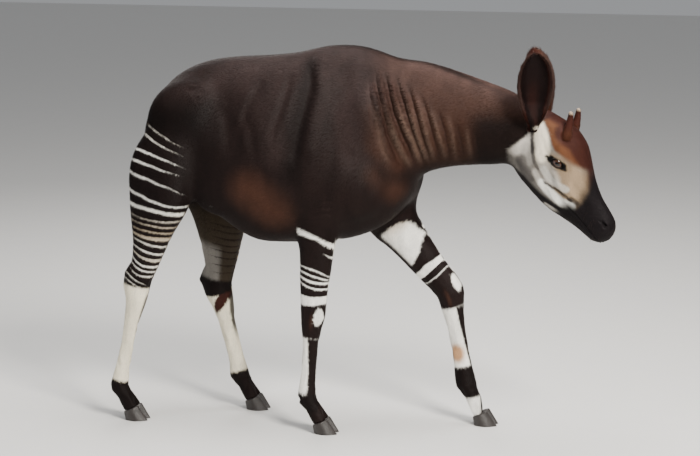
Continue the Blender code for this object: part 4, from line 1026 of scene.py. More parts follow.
def grow_tufts(name, source, uv, fields, count, weight, length, width, rise, lie, seed):
    """Flat tapered tufts over a surface. Weight, length, width and rise are given at its points."""
    draw = np.random.default_rng(seed)
    corners, loops = triangles_of(source)
    points = points_of(source)
    normals = normals_of(source)
    ends = points[corners]
    area = np.linalg.norm(np.cross(ends[:, 1] - ends[:, 0], ends[:, 2] - ends[:, 0]), axis=1) / 2
    total = np.cumsum(area * weight[corners].mean(1))
    chosen = np.searchsorted(total, (np.arange(count) + draw.random(count)) / count * total[-1])
    chosen = np.minimum(chosen, len(corners) - 1)
    first = np.sqrt(draw.random(count))
    second = draw.random(count)
    shares = np.stack([1 - first, first * (1 - second), first * second], 1)[:, :, None]

    def at_root(values):
        return (values[corners[chosen]] * shares).sum(1)

    root = at_root(points)
    normal = at_root(normals)
    normal /= np.linalg.norm(normal, axis=1)[:, None]
    way = lie(root)
    way = way - normal * (way * normal).sum(1)[:, None]
    way /= np.maximum(np.linalg.norm(way, axis=1), 1e-6)[:, None]
    beside = np.cross(way, normal)
    swing = draw.normal(0, TUFT_SWING, count)[:, None]
    way = way * np.cos(swing) + beside * np.sin(swing)
    beside = np.cross(way, normal)
    size = at_root(np.stack([length, width, rise], 1)) * draw.uniform(*TUFT_SIZES, (count, 3))
    long, wide, high = (size[:, [index]] for index in range(3))
    middle = root + way * long * TUFT_MIDDLE + normal * high * TUFT_MIDDLE_RISE
    rows = np.stack([
        root - beside * wide * 0.5 - normal * TUFT_DEPTH,
        root + beside * wide * 0.5 - normal * TUFT_DEPTH,
        middle + beside * wide * TUFT_MIDDLE_HALF_WIDTH,
        middle - beside * wide * TUFT_MIDDLE_HALF_WIDTH,
        root + way * long + normal * high,
    ], 1)
    mesh = bpy.data.meshes.new(name)
    mesh.vertices.add(count * TUFT_POINTS)
    mesh.vertices.foreach_set("co", rows.astype(np.float32).ravel())
    number = np.arange(count)[:, None]
    corner_count = len(TUFT_CORNERS)
    mesh.loops.add(count * corner_count)
    used = number * TUFT_POINTS + np.array(TUFT_CORNERS)
    mesh.loops.foreach_set("vertex_index", used.astype(np.int32).ravel())
    mesh.polygons.add(count * 2)
    starts = number * corner_count + np.array((0, 4))
    mesh.polygons.foreach_set("loop_start", starts.astype(np.int32).ravel())
    mesh.polygons.foreach_set("use_smooth", np.ones(count * 2, bool))
    mesh.update(calc_edges=True)
    mesh.validate()
    piece = add_piece(name, mesh)
    patch = np.array(((-1, -1), (1, -1), (1, 0), (-1, 0), (-1, 0), (1, 0), (0, 1))) * TUFT_PATCH
    middle_uv = (uv[loops[chosen]] * shares).sum(1)
    put_unwrap(piece, (middle_uv[:, None] + patch[None]).reshape(-1, 2))
    store(piece, {key: np.repeat(at_root(values), TUFT_POINTS, axis=0) for key, values in fields.items()})
    return piece


def loft(name, rings):
    """A closed surface through rings of equal count, with a fan over each end."""
    rings = np.array(rings)
    number, round_ = rings.shape[:2]
    points = rings.reshape(-1, 3)
    points = np.vstack([points, rings[0].mean(0), rings[-1].mean(0)])
    faces = []
    for row in range(number - 1):
        for index in range(round_):
            other = (index + 1) % round_
            faces.append((row * round_ + index, row * round_ + other, (row + 1) * round_ + other,
                          (row + 1) * round_ + index))
    for index in range(round_):
        other = (index + 1) % round_
        faces.append((other, index, number * round_))
        faces.append(((number - 1) * round_ + index, (number - 1) * round_ + other, number * round_ + 1))
    mesh = bpy.data.meshes.new(name)
    mesh.from_pydata(points.tolist(), [], faces)
    piece = add_piece(name, mesh)
    pick(piece)
    bpy.ops.object.mode_set(mode="EDIT")
    bpy.ops.mesh.select_all(action="SELECT")
    bpy.ops.mesh.normals_make_consistent(inside=False)
    bpy.ops.object.mode_set(mode="OBJECT")
    bpy.ops.object.shade_smooth()
    return piece


def plain_fields(places, tint):
    """Fields of a piece that has a tint but no stripes."""
    still = np.tile(NO_STRIPE, (len(places), 1))
    blend = np.zeros((len(places), 3))
    return {"tint": tint, "outer": still, "inner": still, "blend": blend, "place": places}


# Rings of a strand: how far along it they are, and their share of its radius.
STRAND_RINGS = ((0.0, 1.0), (0.35, 0.95), (0.70, 0.62))
STRAND_TURNS = (0.0, 2.0944, 4.1888)


def hair_strands(name, strands):
    """Fine closed hairs of three sides. Each is its foot, way, length, radius and bend."""
    points = []
    faces = []
    for foot, way, length, radius, bend in strands:
        across = way.orthogonal().normalized()
        beside = way.cross(across)
        first = len(points)
        for part, share in STRAND_RINGS:
            middle = foot + way * length * part + bend * part * part
            for turn in STRAND_TURNS:
                points.append(middle + (across * math.cos(turn) + beside * math.sin(turn)) * radius * share)
        points.append(foot + way * length + bend)
        faces.append((first + 2, first + 1, first))
        for row in (first, first + 3):
            for index in range(3):
                other = (index + 1) % 3
                faces.append((row + index, row + other, row + 3 + other, row + 3 + index))
        for index in range(3):
            faces.append((first + 6 + index, first + 6 + (index + 1) % 3, first + 9))
    mesh = bpy.data.meshes.new(name)
    mesh.from_pydata([tuple(point) for point in points], [], faces)
    mesh.shade_smooth()
    return add_piece(name, mesh)


def ride(piece, slot, *nodes):
    """Fix a piece to the body and hide the nodes that it stands for. The slot is not used."""
    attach(piece, "root")
    if nodes:
        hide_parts(*nodes)


def node(tree, kind, **settings):
    made = tree.nodes.new(kind)
    for key, value in settings.items():
        setattr(made, key, value)
    return made


def fill(tree, made, values):
    """Link each input to a socket, or set it to a plain value, and give back the outputs."""
    for key, value in values.items():
        socket = made.inputs[key]
        if isinstance(value, bpy.types.NodeSocket):
            tree.links.new(value, socket)
        elif socket.type == "RGBA":
            socket.default_value = (*value, 1.0)[:4]
        else:
            socket.default_value = value
    return made.outputs


def math_node(tree, operation, *values, clamp=False):
    made = node(tree, "ShaderNodeMath", operation=operation, use_clamp=clamp)
    return fill(tree, made, dict(enumerate(values)))[0]


def mix(tree, amount, first, second):
    """A blend of two numbers."""
    made = node(tree, "ShaderNodeMix", data_type="FLOAT")
    return fill(tree, made, {0: amount, 2: first, 3: second})[0]


def mix_colour(tree, amount, first, second, blend="MIX"):
    """A blend of two colours."""
    made = node(tree, "ShaderNodeMix", data_type="RGBA", blend_type=blend)
    return fill(tree, made, {0: amount, 6: first, 7: second})[2]


def stretched(tree, vector, scale):
    """A vector scaled along each axis."""
    return fill(tree, node(tree, "ShaderNodeVectorMath", operation="MULTIPLY"), {0: vector, 1: scale})[0]


def noise(tree, vector, scale, detail=2.0):
    """Soft random values from 0 to 1."""
    made = node(tree, "ShaderNodeTexNoise")
    return fill(tree, made, {"Vector": vector, "Scale": scale, "Detail": detail})[0]


def field(tree, name, output="Vector"):
    """A field kept on the mesh."""
    return node(tree, "ShaderNodeAttribute", attribute_name=name).outputs[output]


def split(tree, vector):
    """The three numbers of a vector."""
    return fill(tree, node(tree, "ShaderNodeSeparateXYZ"), {0: vector})


def object_place(tree):
    """Place on the object, in its own coordinates."""
    return node(tree, "ShaderNodeTexCoord").outputs["Object"]


def new_group(name, inputs, outputs):
    group = bpy.data.node_groups.new(name, "ShaderNodeTree")
    for label, kind, value in inputs:
        socket = group.interface.new_socket(label, in_out="INPUT", socket_type="NodeSocket" + kind)
        socket.default_value = value
    for label, kind in outputs:
        group.interface.new_socket(label, in_out="OUTPUT", socket_type="NodeSocket" + kind)
    return group, node(group, "NodeGroupInput").outputs, node(group, "NodeGroupOutput").inputs


# Markings: scales of the fine and the slow waves of an edge, of the cloudy patches and of the grain, how
# sharp an edge is, and how strongly clouds and grain shade the colour.
EDGE_SCALE = 140.0
SWAY_SCALE = 13.0
CLOUD_SCALE = (26.0, 26.0, 7.0)
GRAIN_SCALE = 420.0
EDGE_SHARPNESS = 14.0
SHADING = 2.6


def marking_group():
    """Colour of skin and coat: the ground tint, with the stripes drawn on it from their fields."""
    tree, given, result = new_group(
        "okapi_markings",
        (("White", "Color", (0.85, 0.82, 0.76, 1)), ("Cream", "Color", (0.42, 0.32, 0.20, 1)),
         ("Dark", "Color", (0.012, 0.008, 0.007, 1)), ("Wander", "Float", 0.05), ("Sway", "Float", 0.26),
         ("Mottle", "Float", 0.30)),
        (("Color", "Color"),),
    )
    place = field(tree, "place")
    outerness, leg, _ = split(tree, field(tree, "blend"))
    ragged = math_node(tree, "SUBTRACT", noise(tree, place, EDGE_SCALE, 3.0), 0.5)
    wander = math_node(tree, "MULTIPLY", ragged, given["Wander"])
    slow = math_node(tree, "SUBTRACT", noise(tree, place, SWAY_SCALE, 1.0), 0.5)
    sway = math_node(tree, "MULTIPLY", slow, given["Sway"])
    masks = []
    tones = []
    for name in ("outer", "inner"):
        count, share, tone = split(tree, field(tree, name))
        away = math_node(tree, "PINGPONG", math_node(tree, "ADD", count, sway), 0.5)
        inside = math_node(tree, "SUBTRACT", share, away)
        inside = math_node(tree, "ADD", inside, wander)
        masks.append(math_node(tree, "MULTIPLY_ADD", inside, EDGE_SHARPNESS, 0.5, clamp=True))
        tones.append(tone)
    side = math_node(tree, "MULTIPLY_ADD", outerness, 3.5, 0.55, clamp=True)
    mask = mix(tree, side, masks[1], masks[0])
    tone = mix(tree, side, tones[1], tones[0])
    on_leg = math_node(tree, "MULTIPLY_ADD", leg, 2.0, -0.5, clamp=True)
    striped = math_node(tree, "MULTIPLY", mask, on_leg)
    creamy = math_node(tree, "MULTIPLY", tone, 1.0, clamp=True)
    darker = math_node(tree, "SUBTRACT", tone, 1.0, clamp=True)
    stripe = mix_colour(tree, creamy, given["White"], given["Cream"])
    stripe = mix_colour(tree, darker, stripe, given["Dark"])
    colour = mix_colour(tree, striped, field(tree, "tint", "Color"), stripe)
    cloudy = noise(tree, stretched(tree, place, CLOUD_SCALE), 1.0, 4.0)
    both = math_node(tree, "ADD", cloudy, noise(tree, place, GRAIN_SCALE))
    level = math_node(tree, "MULTIPLY", math_node(tree, "SUBTRACT", both, 1.0), given["Mottle"])
    level = math_node(tree, "MULTIPLY_ADD", level, SHADING, 1.0)
    shade = fill(tree, node(tree, "ShaderNodeCombineColor"), {0: level, 1: level, 2: level})[0]
    tree.links.new(mix_colour(tree, 1.0, colour, shade, "MULTIPLY"), result["Color"])


# Scales of the streaks of hair on the body, which run back, and on the legs, which run down.
BODY_STREAKS = (70.0, 420.0, 300.0)
LEG_STREAKS = (380.0, 380.0, 60.0)


def hair_bump_group():
    """Height of a short flat coat: fine streaks that run back along the body and down the legs."""
    tree, given, result = new_group("okapi_hair_height", (("Fineness", "Float", 1.0),),
                                    (("Height", "Float"),))
    heights = []
    for scale in (BODY_STREAKS, LEG_STREAKS):
        finer = node(tree, "ShaderNodeVectorMath", operation="SCALE")
        place = stretched(tree, field(tree, "place"), scale)
        streaks = fill(tree, finer, {0: place, "Scale": given["Fineness"]})
        heights.append(noise(tree, streaks[0], 1.0, 3.0))
    _, leg, _ = split(tree, field(tree, "blend"))
    tree.links.new(mix(tree, leg, *heights), result["Height"])


def shared_groups():
    """The two node groups that skin and coat share, made once."""
    if "okapi_markings" not in bpy.data.node_groups:
        marking_group()
        hair_bump_group()
    return bpy.data.node_groups["okapi_markings"], bpy.data.node_groups["okapi_hair_height"]


def new_material(name, **values):
    """A material, its tree and its shader, with plain values for the shader's inputs."""
    material = bpy.data.materials.new(name)
    material.use_nodes = True
    tree = material.node_tree
    shader = tree.nodes["Principled BSDF"]
    fill(tree, shader, {key.replace("_", " ").title(): value for key, value in values.items()})
    return material, tree, shader


def add_bump(tree, shader, height, distance):
    bump = node(tree, "ShaderNodeBump")
    bump = fill(tree, bump, {"Strength": 1.0, "Distance": distance, "Height": height})
    tree.links.new(bump["Normal"], shader.inputs["Normal"])


# The coat's finish: a weak warm sheen and little shine.
COAT_SHEEN_TINT = (0.80, 0.52, 0.42)
COAT_SHEEN_ROUGHNESS = 0.35
COAT_SHINE = 0.10


def coat_material(name, roughness, sheen, bump):
    """The finish of skin or tufts: both take their markings from the same fields."""
    markings, streaks = shared_groups()
    material, tree, shader = new_material(name, roughness=roughness, sheen_weight=sheen,
                                          sheen_roughness=COAT_SHEEN_ROUGHNESS, sheen_tint=COAT_SHEEN_TINT)
    shader.inputs["Specular IOR Level"].default_value = COAT_SHINE
    marks = node(tree, "ShaderNodeGroup", node_tree=markings)
    marks = fill(tree, marks, {"White": dye("white"), "Cream": dye("stripe_cream"), "Dark": dye("dark")})
    tree.links.new(marks["Color"], shader.inputs["Base Color"])
    if bump:
        add_bump(tree, shader, node(tree, "ShaderNodeGroup", node_tree=streaks).outputs["Height"], bump)
    return material


def noise_material(name, scale, detail, first, second, **values):
    """A finish whose colour wanders between two."""
    material, tree, shader = new_material(name, **values)
    colour = mix_colour(tree, noise(tree, object_place(tree), scale, detail), first, second)
    tree.links.new(colour, shader.inputs["Base Color"])
    return material, tree, shader


def colour_setting(name, description, default):
    return bpy.props.FloatVectorProperty(name=name, description=description, subtype="COLOR", size=3, min=0,
                                         max=1, default=default)


class OkapiCoat(bpy.types.PropertyGroup):
    """Colours of the coat, and the size of its hair."""

    dark: colour_setting("Dark coat", "Colour of the body", (0.0115, 0.0062, 0.0054))
    # Painted sunlight on the upward-facing top of the back and neck, and the colour of a few paler patches
    # of the trunk.
    sable_and_sunlit_top: colour_setting("Back", "Colour of the back where light has faded it", (0.034, 0.0215, 0.0200))
    russet: colour_setting("Russet", "Reddish brown of the neck and the flank", (0.062, 0.026, 0.0155))
    # Painted sunlight on the top of the neck.
    sunlit_nape: colour_setting("Nape", "Colour of the top of the neck", (0.074, 0.042, 0.035))
    # Painted highlight on the crests of the neck's folds.
    fold_highlight: colour_setting("Folds", "Colour of the crests of the neck's folds", (0.150, 0.100, 0.074))
    white: colour_setting("White", "Colour of the stripes and the lower legs", (0.86, 0.84, 0.78))
    stripe_cream: colour_setting("Cream stripes", "Colour of the stripes above the hock", (0.40, 0.31, 0.20))
    cream: colour_setting("Cream", "Colour of the temple and under the ear", (0.80, 0.73, 0.60))
    cheek: colour_setting("Cheek", "Pale grey of the cheek and jaw", (0.42, 0.39, 0.35))
    # Smoke is also painted shade on the lower cheek and along the line under the eye.
    smoke: colour_setting("Smoke", "Dark grey that shades the cheek", (0.060, 0.053, 0.050))
    taupe: colour_setting("Taupe", "Colour of the middle of the face", (0.300, 0.218, 0.140))
    chestnut: colour_setting("Chestnut", "Colour of the forehead", (0.112, 0.044, 0.019))
    maroon: colour_setting("Maroon", "Dark red brown round the horns", (0.040, 0.0115, 0.0080))
    # The muzzle's dark also paints the shade under the jaw and along the creases of the cheek.
    muzzle: colour_setting("Muzzle", "Colour of the nose and lips", (0.0055, 0.0038, 0.0045))
    tan: colour_setting("Tan", "Tan hair behind the lower foreleg", (0.45, 0.24, 0.11))
    depth: bpy.props.FloatProperty(
        name="Coat depth", description="How far the skin lies inside the coat", unit="LENGTH",
        default=0.0030)
    hair: bpy.props.FloatProperty(
        name="Hair length", description="Length of a tuft on the body", unit="LENGTH", default=0.013)
    tufts: bpy.props.IntProperty(
        name="Tufts", description="Count of tufts in each piece of the coat", default=60000, min=100)
    ear_tufts: bpy.props.IntProperty(
        name="Ear tufts", description="Count of tufts on each ear", default=16000, min=100)


class OkapiStage(bpy.types.PropertyGroup):
    """Camera and light."""

    azimuth: bpy.props.FloatProperty(
        name="Azimuth", description="Camera's turn round the model", subtype="ANGLE",
        default=math.radians(14))
    elevation: bpy.props.FloatProperty(
        name="Elevation", description="Camera's angle above the horizon", subtype="ANGLE",
        default=math.radians(11))
    distance: bpy.props.FloatProperty(
        name="Distance", description="Camera's distance", unit="LENGTH", default=7.5)
    lens: bpy.props.FloatProperty(name="Lens", description="Focal length in millimetres", default=99.5)
    floor: colour_setting("Floor", "Colour of the floor", (0.72, 0.71, 0.69))


class OKAPI_OT_skin(bpy.types.Operator):
    """Fuse the nodes of flesh into one skin, with its folds, lids, lips and markings"""

    bl_idname = "okapi.skin"
    bl_label = "Skin"

    def execute(self, context):
        skin = fused_flesh()
        smooth_flesh(skin)
        points = points_of(skin)
        face = in_head(points)
        refine(skin, (face[:, 0] > 0.10) & (np.abs(face[:, 1]) < 0.13) & (points[:, 0] > 0.6))
        refine(skin, delicate(points_of(skin)) > 0.5)
        points = points_of(skin)
        head, leg = zones(points - SHIFT, in_head(points))
        inset = context.scene.okapi_coat.depth * (1 - 0.65 * head - 0.55 * leg)
        put_points(skin, points - normals_of(skin) * inset[:, None])
        raise_paths(skin, neck_folds(), on_body, taper=0.11)
        raise_paths(skin, BODY_FOLDS, on_body, taper=0.07)
        raise_paths(skin, FACE_FORMS, on_head)
        raise_paths(skin, MOUTH_FORMS, on_head, 0.003)
        set_lids(skin)
        even_out(skin, 1, np.ones(len(skin.data.vertices)))
        thin_out(skin)
        pick(skin)
        bpy.ops.object.shade_smooth()
        store(skin, mark(points_of(skin), normals_of(skin)))
        put_unwrap(skin, skin_unwrap(skin))
        skin.data.materials.append(coat_material("okapi_skin", 0.62, 0.03, 0.0007))
        ride(skin, "body_coat", *FLESH_NODES)
        return {"FINISHED"}


# Pieces of the coat: the slot and the count of pieces. Below are the first seed and the width of a tuft.
COAT_PIECES = {"body": ("body_coat", 5), "head": ("face_coat", 1), "legs": ("leg_coat", 1)}
COAT_SEED = 31
COAT_WIDTH = 0.0016


class OKAPI_OT_coat(bpy.types.Operator):
    """Grow the short coat over the skin, longest on the trunk and finest on the face and feet"""

    bl_idname = "okapi.coat"
    bl_label = "Coat"

    def execute(self, context):
        setting = context.scene.okapi_coat
        skin = bpy.data.objects["skin"]
        points = points_of(skin)
        body = points - SHIFT
        face = in_head(points)
        head, leg = zones(body, face)
        fields = {key: read(skin.data.attributes[key].data, "vector").astype(float)
                  for key in ("tint", "outer", "inner", "blend", "place")}
        uv = read(skin.data.uv_layers["OFBake"].data, "uv", 2)
        foot = ramp(body[:, 2], 0.45, 0.10)
        nose = ramp(face[:, 0], 0.30, 0.42) * head
        haunch = ramp(body[:, 0], -0.46, -0.56) * (1 - leg)
        length = setting.hair * (1 - 0.58 * head - 0.50 * leg - 0.06 * foot - 0.12 * nose - 0.48 * haunch)
        width = COAT_WIDTH * (1 - 0.36 * head - 0.16 * leg - 0.12 * haunch)
        rise = setting.depth * (0.95 - 0.60 * head - 0.45 * leg)
        half_face = np.stack([face[:, 0], np.abs(face[:, 1]), face[:, 2]], 1)
        bare = ramp(eye_distance(points), 0.0285, 0.0320)
        bare *= 1 - near_path(half_face, LIPS, 0.006) * head
        bare *= 1 - ramp(from_nostril(face), 0.020, 0.013) * head
        bare *= ramp(body[:, 2], 0.040, 0.060)
        weight = {
            "body": (1 - head) * (1 - leg) * (1 + 0.5 * haunch),
            "head": head * 2.6 * (1 - 0.4 * nose),
            "legs": leg * (1 - head) * 1.8,
        }
        material = coat_material("okapi_coat", 0.56, 0.03, 0.0)
        for name, (slot, count) in COAT_PIECES.items():
            for index in range(count):
                coat = grow_tufts(f"coat_{name}_{index + 1}", skin, uv, fields, setting.tufts,
                                  weight[name] * bare, length, width, rise, hair_lie, COAT_SEED + index)
                coat.data.materials.append(material)
                ride(coat, slot)
        return {"FINISHED"}


# Ears: the stations of their rings, half the points of a ring, how deep they start in the head, the share of
# the rim's width that the cup has, the dark of the cup, and the width and seed of their fringe.
EAR_STATIONS = np.concatenate([np.linspace(-0.06, 0.90, 44), np.linspace(0.92, 1.0, 9)])
EAR_HALF_RING = 26
EAR_ROOT = 0.06
EAR_CUP_WIDTH = 0.965
CUP_DARK = (0.005, 0.0025, 0.0025)
FRINGE_WIDTH = 0.0012
EAR_SEED = 51


def ear_form(name, base, way, opening):
    """The leaf of an ear, and for each of its points the station, 1 inside the cup, and 1 at the rim."""
    table = np.array(EAR)
    across = way.cross(opening).normalized()
    base, way, opening, across = (np.array(value) for value in (base, way, opening, across))
    outer = np.pi * np.arange(EAR_HALF_RING) / EAR_HALF_RING
    inner = np.pi * (1 - np.arange(EAR_HALF_RING) / EAR_HALF_RING)
    rings = []
    marks = []
    for place in EAR_STATIONS:
        along = max(place, 0)
        wide, back, cup = (np.interp(along, table[:, 0], table[:, column]) * EAR_WIDTH
                           for column in (1, 2, 3))
        middle = base + way * EAR_LENGTH * place + opening * EAR_BEND * math.sin(math.pi * along)
        ribs = 1 + 0.035 * np.cos(inner * 9) * ramp(place, 0.15, 0.35)
        ring = [middle + across * wide * np.cos(turn) - opening * back * np.sin(turn) for turn in outer]
        ring += [middle + across * wide * EAR_CUP_WIDTH * np.cos(turn) - opening * cup * np.sin(turn) * rib
                 for turn, rib in zip(inner, ribs)]
        rings.append(ring)
        marks += [(place, 0.0, abs(math.cos(turn))) for turn in outer]
        marks += [(place, 1.0, abs(math.cos(turn))) for turn in inner]
    ear = loft(name, rings)
    even_out(ear, 2, np.ones(len(ear.data.vertices)))
    marks += [(EAR_STATIONS[0], 0, 0), (EAR_STATIONS[-1], 0, 1)]
    return ear, np.array(marks).T


def ear_unwrap(ear, place):
    """Unroll an ear round its middle."""
    corners = corners_of(ear)
    ring = EAR_HALF_RING * 2
    turn = np.where(corners < len(EAR_STATIONS) * ring, corners % ring / ring, 0.5)
    along = np.clip((place[corners] + EAR_ROOT) / (1 + EAR_ROOT), 0, 1)
    return 0.02 + 0.96 * np.stack([turn, along], 1)


class OKAPI_OT_ears(bpy.types.Operator):
    """Shape the two leaf-like ears, with their cups, rims and fringes"""

    bl_idname = "okapi.ears"
    bl_label = "Ears"

    def execute(self, context):
        material = coat_material("okapi_ear", 0.66, 0.02, 0.0007)
        for side, name in SIDES:
            base, way, opening = ear_place(side, name)
            ear, (place, inside, edge) = ear_form("ear_" + name + "_leaf", base, way, opening)
            points = points_of(ear)
            outside = 1 - inside
            tint = layered(
                np.tile(dye("maroon", 1.15), (len(points), 1)),
                (dye("russet"), ramp(edge, 0.55, 0.97) * 0.55 * outside),
                (CUP_DARK, inside * ramp(edge, 0.97, 0.80) * 0.95),
                (dye("maroon", 0.6), inside * ramp(place, 0.72, 0.35) * ramp(edge, 0.6, 0.1) * 0.5),
                (dye("russet"), ramp(place, 0.22, 0.02) * outside * 0.9),
                (dye("smoke"), ramp(edge, 0.92, 0.995) * ramp(place, 0.10, 0.30) * 0.35),
            )
            fields = plain_fields(points, tint)
            store(ear, fields)
            uv = ear_unwrap(ear, place)
            put_unwrap(ear, uv)
            ear.data.materials.append(material)
            ride(ear, "ear_skin", "ear_" + name)
            rim = ramp(edge, 0.93, 0.995) * ramp(place, 0.03, 0.12)
            weight = 0.55 + 3.5 * rim + 0.35 * inside * ramp(edge, 0.3, 0.9)
            length = 0.008 + 0.007 * rim + 0.008 * inside * ramp(place, 0.85, 0.35)
            rise = 0.0016 + 0.0030 * rim + 0.0030 * inside * ramp(edge, 0.2, 0.8)

            def lie(root, way=np.array(way), opening=np.array(opening)):
                return np.tile(way + opening * 0.10, (len(root), 1))

            count = context.scene.okapi_coat.ear_tufts
            fur = grow_tufts("ear_" + name + "_fur", ear, uv, fields, count, weight, length,
                             np.full(len(points), FRINGE_WIDTH), rise, lie, EAR_SEED)
            fur.data.materials.append(material)
            ride(fur, "ear_skin")
        return {"FINISHED"}


# Horns: their radius along them, the points and the number of their rings, where the skin ends, how much
# thinner the bare horn is under it, and the count, length, width and seed of their tufts.
HORN_RADIUS = ((-0.12, 0.0195), (0, 0.0185), (0.3, 0.0163), (0.6, 0.0122), (0.86, 0.0090), (0.93, 0.0082),
               (0.97, 0.0062), (1.0, 0.0012))
HORN_ROUND = 28
HORN_RINGS = 30
HORN_SKIN_END = 0.868
HORN_UNDER_SKIN = 0.0006
HORN_TUFTS = 5000
HORN_HAIR = (0.008, 0.0011)
HORN_SEED = 61
# Each horn's parts: the node, its slot, and where it starts and ends.
HORN_PARTS = (("ossicone_", "horn_skin", -0.12, HORN_SKIN_END), ("ossicone_tip_", "bare_horn", 0.84, 1.0))


def horn_form(name, foot, way, length, low, high, bare):
    """A part of a horn as a closed lumpy cone."""
    across = np.array(Vector(way).orthogonal().normalized())
    beside = np.cross(way, across)
    rings = []
    for part in np.linspace(low, high, HORN_RINGS):
        radius = edge_at(HORN_RADIUS, part) - (HORN_UNDER_SKIN if bare and part < HORN_SKIN_END else 0.0)
        lump = 1 + 0.03 * math.sin(part * 23) * (1 - part)
        middle = foot + way * length * part + across * 0.004 * math.sin(math.pi * max(part, 0))
        turns = np.linspace(0, 2 * math.pi, HORN_ROUND, endpoint=False)
        rings.append([middle + radius * lump * (across * math.cos(turn) + beside * math.sin(turn))
                      for turn in turns])
    return loft(name, rings)


class OKAPI_OT_horns(bpy.types.Operator):
    """Raise the two short horns with their skin and bare tips"""

    bl_idname = "okapi.horns"
    bl_label = "Horns"

    def execute(self, context):
        material = coat_material("okapi_horn_skin", 0.60, 0.06, 0.0007)
        bare, tree, shader = new_material("bare_horn", roughness=0.34)
        streak = noise(tree, object_place(tree), 160.0, 4.0)
        colour = mix_colour(tree, streak, (0.34, 0.26, 0.18), (0.14, 0.09, 0.06))
        tree.links.new(colour, shader.inputs["Base Color"])
        add_bump(tree, shader, streak, 0.0006)
        for side, name in SIDES:
            foot, top = (np.array(end) for end in horn_ends(side))
            length = np.linalg.norm(top - foot)
            way = (top - foot) / length

            def lie(root, way=way):
                return np.tile(way, (len(root), 1))

            for label, slot, low, high in HORN_PARTS:
                horn = horn_form(label + name + "_form", foot, way, length, low, high, slot == "bare_horn")
                points = points_of(horn)
                up = ((points - foot) @ way) / length
                corners = corners_of(horn)
                turn = corners % HORN_ROUND / HORN_ROUND
                uv = 0.02 + 0.96 * np.stack([turn, np.clip(up[corners], 0, 1)], 1)
                put_unwrap(horn, uv)
                ride(horn, slot, label + name)
                if slot == "bare_horn":
                    horn.data.materials.append(bare)
                    continue
                tint = layered(
                    np.tile(dye("maroon", 1.2), (len(points), 1)),
                    (dye("chestnut"), ramp(up, 0.45, 0.05) * 0.35),
                    (dye("maroon", 0.7), ramp(up, 0.70, 0.86)),
                )
                fields = plain_fields(points, tint)
                store(horn, fields)
                horn.data.materials.append(material)
                hair, width = (np.full(len(points), value) for value in HORN_HAIR)
                weight = 1 - 0.75 * ramp(up, 0.6, 0.86)
                rise = 0.0010 + 0.0016 * ramp(up, 0.4, 0.0)
                fur = grow_tufts(label + name + "_fur", horn, uv, fields, HORN_TUFTS, weight, hair, width,
                                 rise, lie, HORN_SEED)
                fur.data.materials.append(material)
                ride(fur, slot)
        return {"FINISHED"}


# Eyes: the bulge of the cornea and how far it reaches, the count of lashes, their radius and droop, and
# the seed.
CORNEA_BULGE = 0.0008
CORNEA_REACH = 0.0150
LASHES = 46
LASH_RADIUS = 0.00045
LASH_DROOP = -0.0040
LASH_SEED = 7


def length_of(tree, first, second):
    """Length of a flat vector."""
    squares = [math_node(tree, "MULTIPLY", value, value) for value in (first, second)]
    return math_node(tree, "POWER", math_node(tree, "ADD", *squares), 0.5)


def eye_material():
    """A dark wet eye: a level pupil in a brown iris, and a dark rim."""
    material, tree, shader = new_material("okapi_eye", roughness=0.07, coat_weight=0.30, coat_roughness=0.02)
    shader.inputs["Specular IOR Level"].default_value = 0.30
    look = field(tree, "look")
    across, up, _ = split(tree, look)
    from_pupil = length_of(tree, math_node(tree, "MULTIPLY", across, 0.55), up)
    pupil = math_node(tree, "MULTIPLY_ADD", from_pupil, -18.0, 4.4, clamp=True)
    rim = math_node(tree, "MULTIPLY_ADD", length_of(tree, across, up), 12.0, -7.6, clamp=True)
    colour = mix_colour(tree, noise(tree, look, 9.0, 5.0), (0.050, 0.020, 0.009), (0.014, 0.006, 0.004))
    colour = mix_colour(tree, pupil, colour, (0.001, 0.001, 0.0015))
    colour = mix_colour(tree, rim, colour, (0.020, 0.010, 0.008))
    tree.links.new(colour, shader.inputs["Base Color"])
    return material


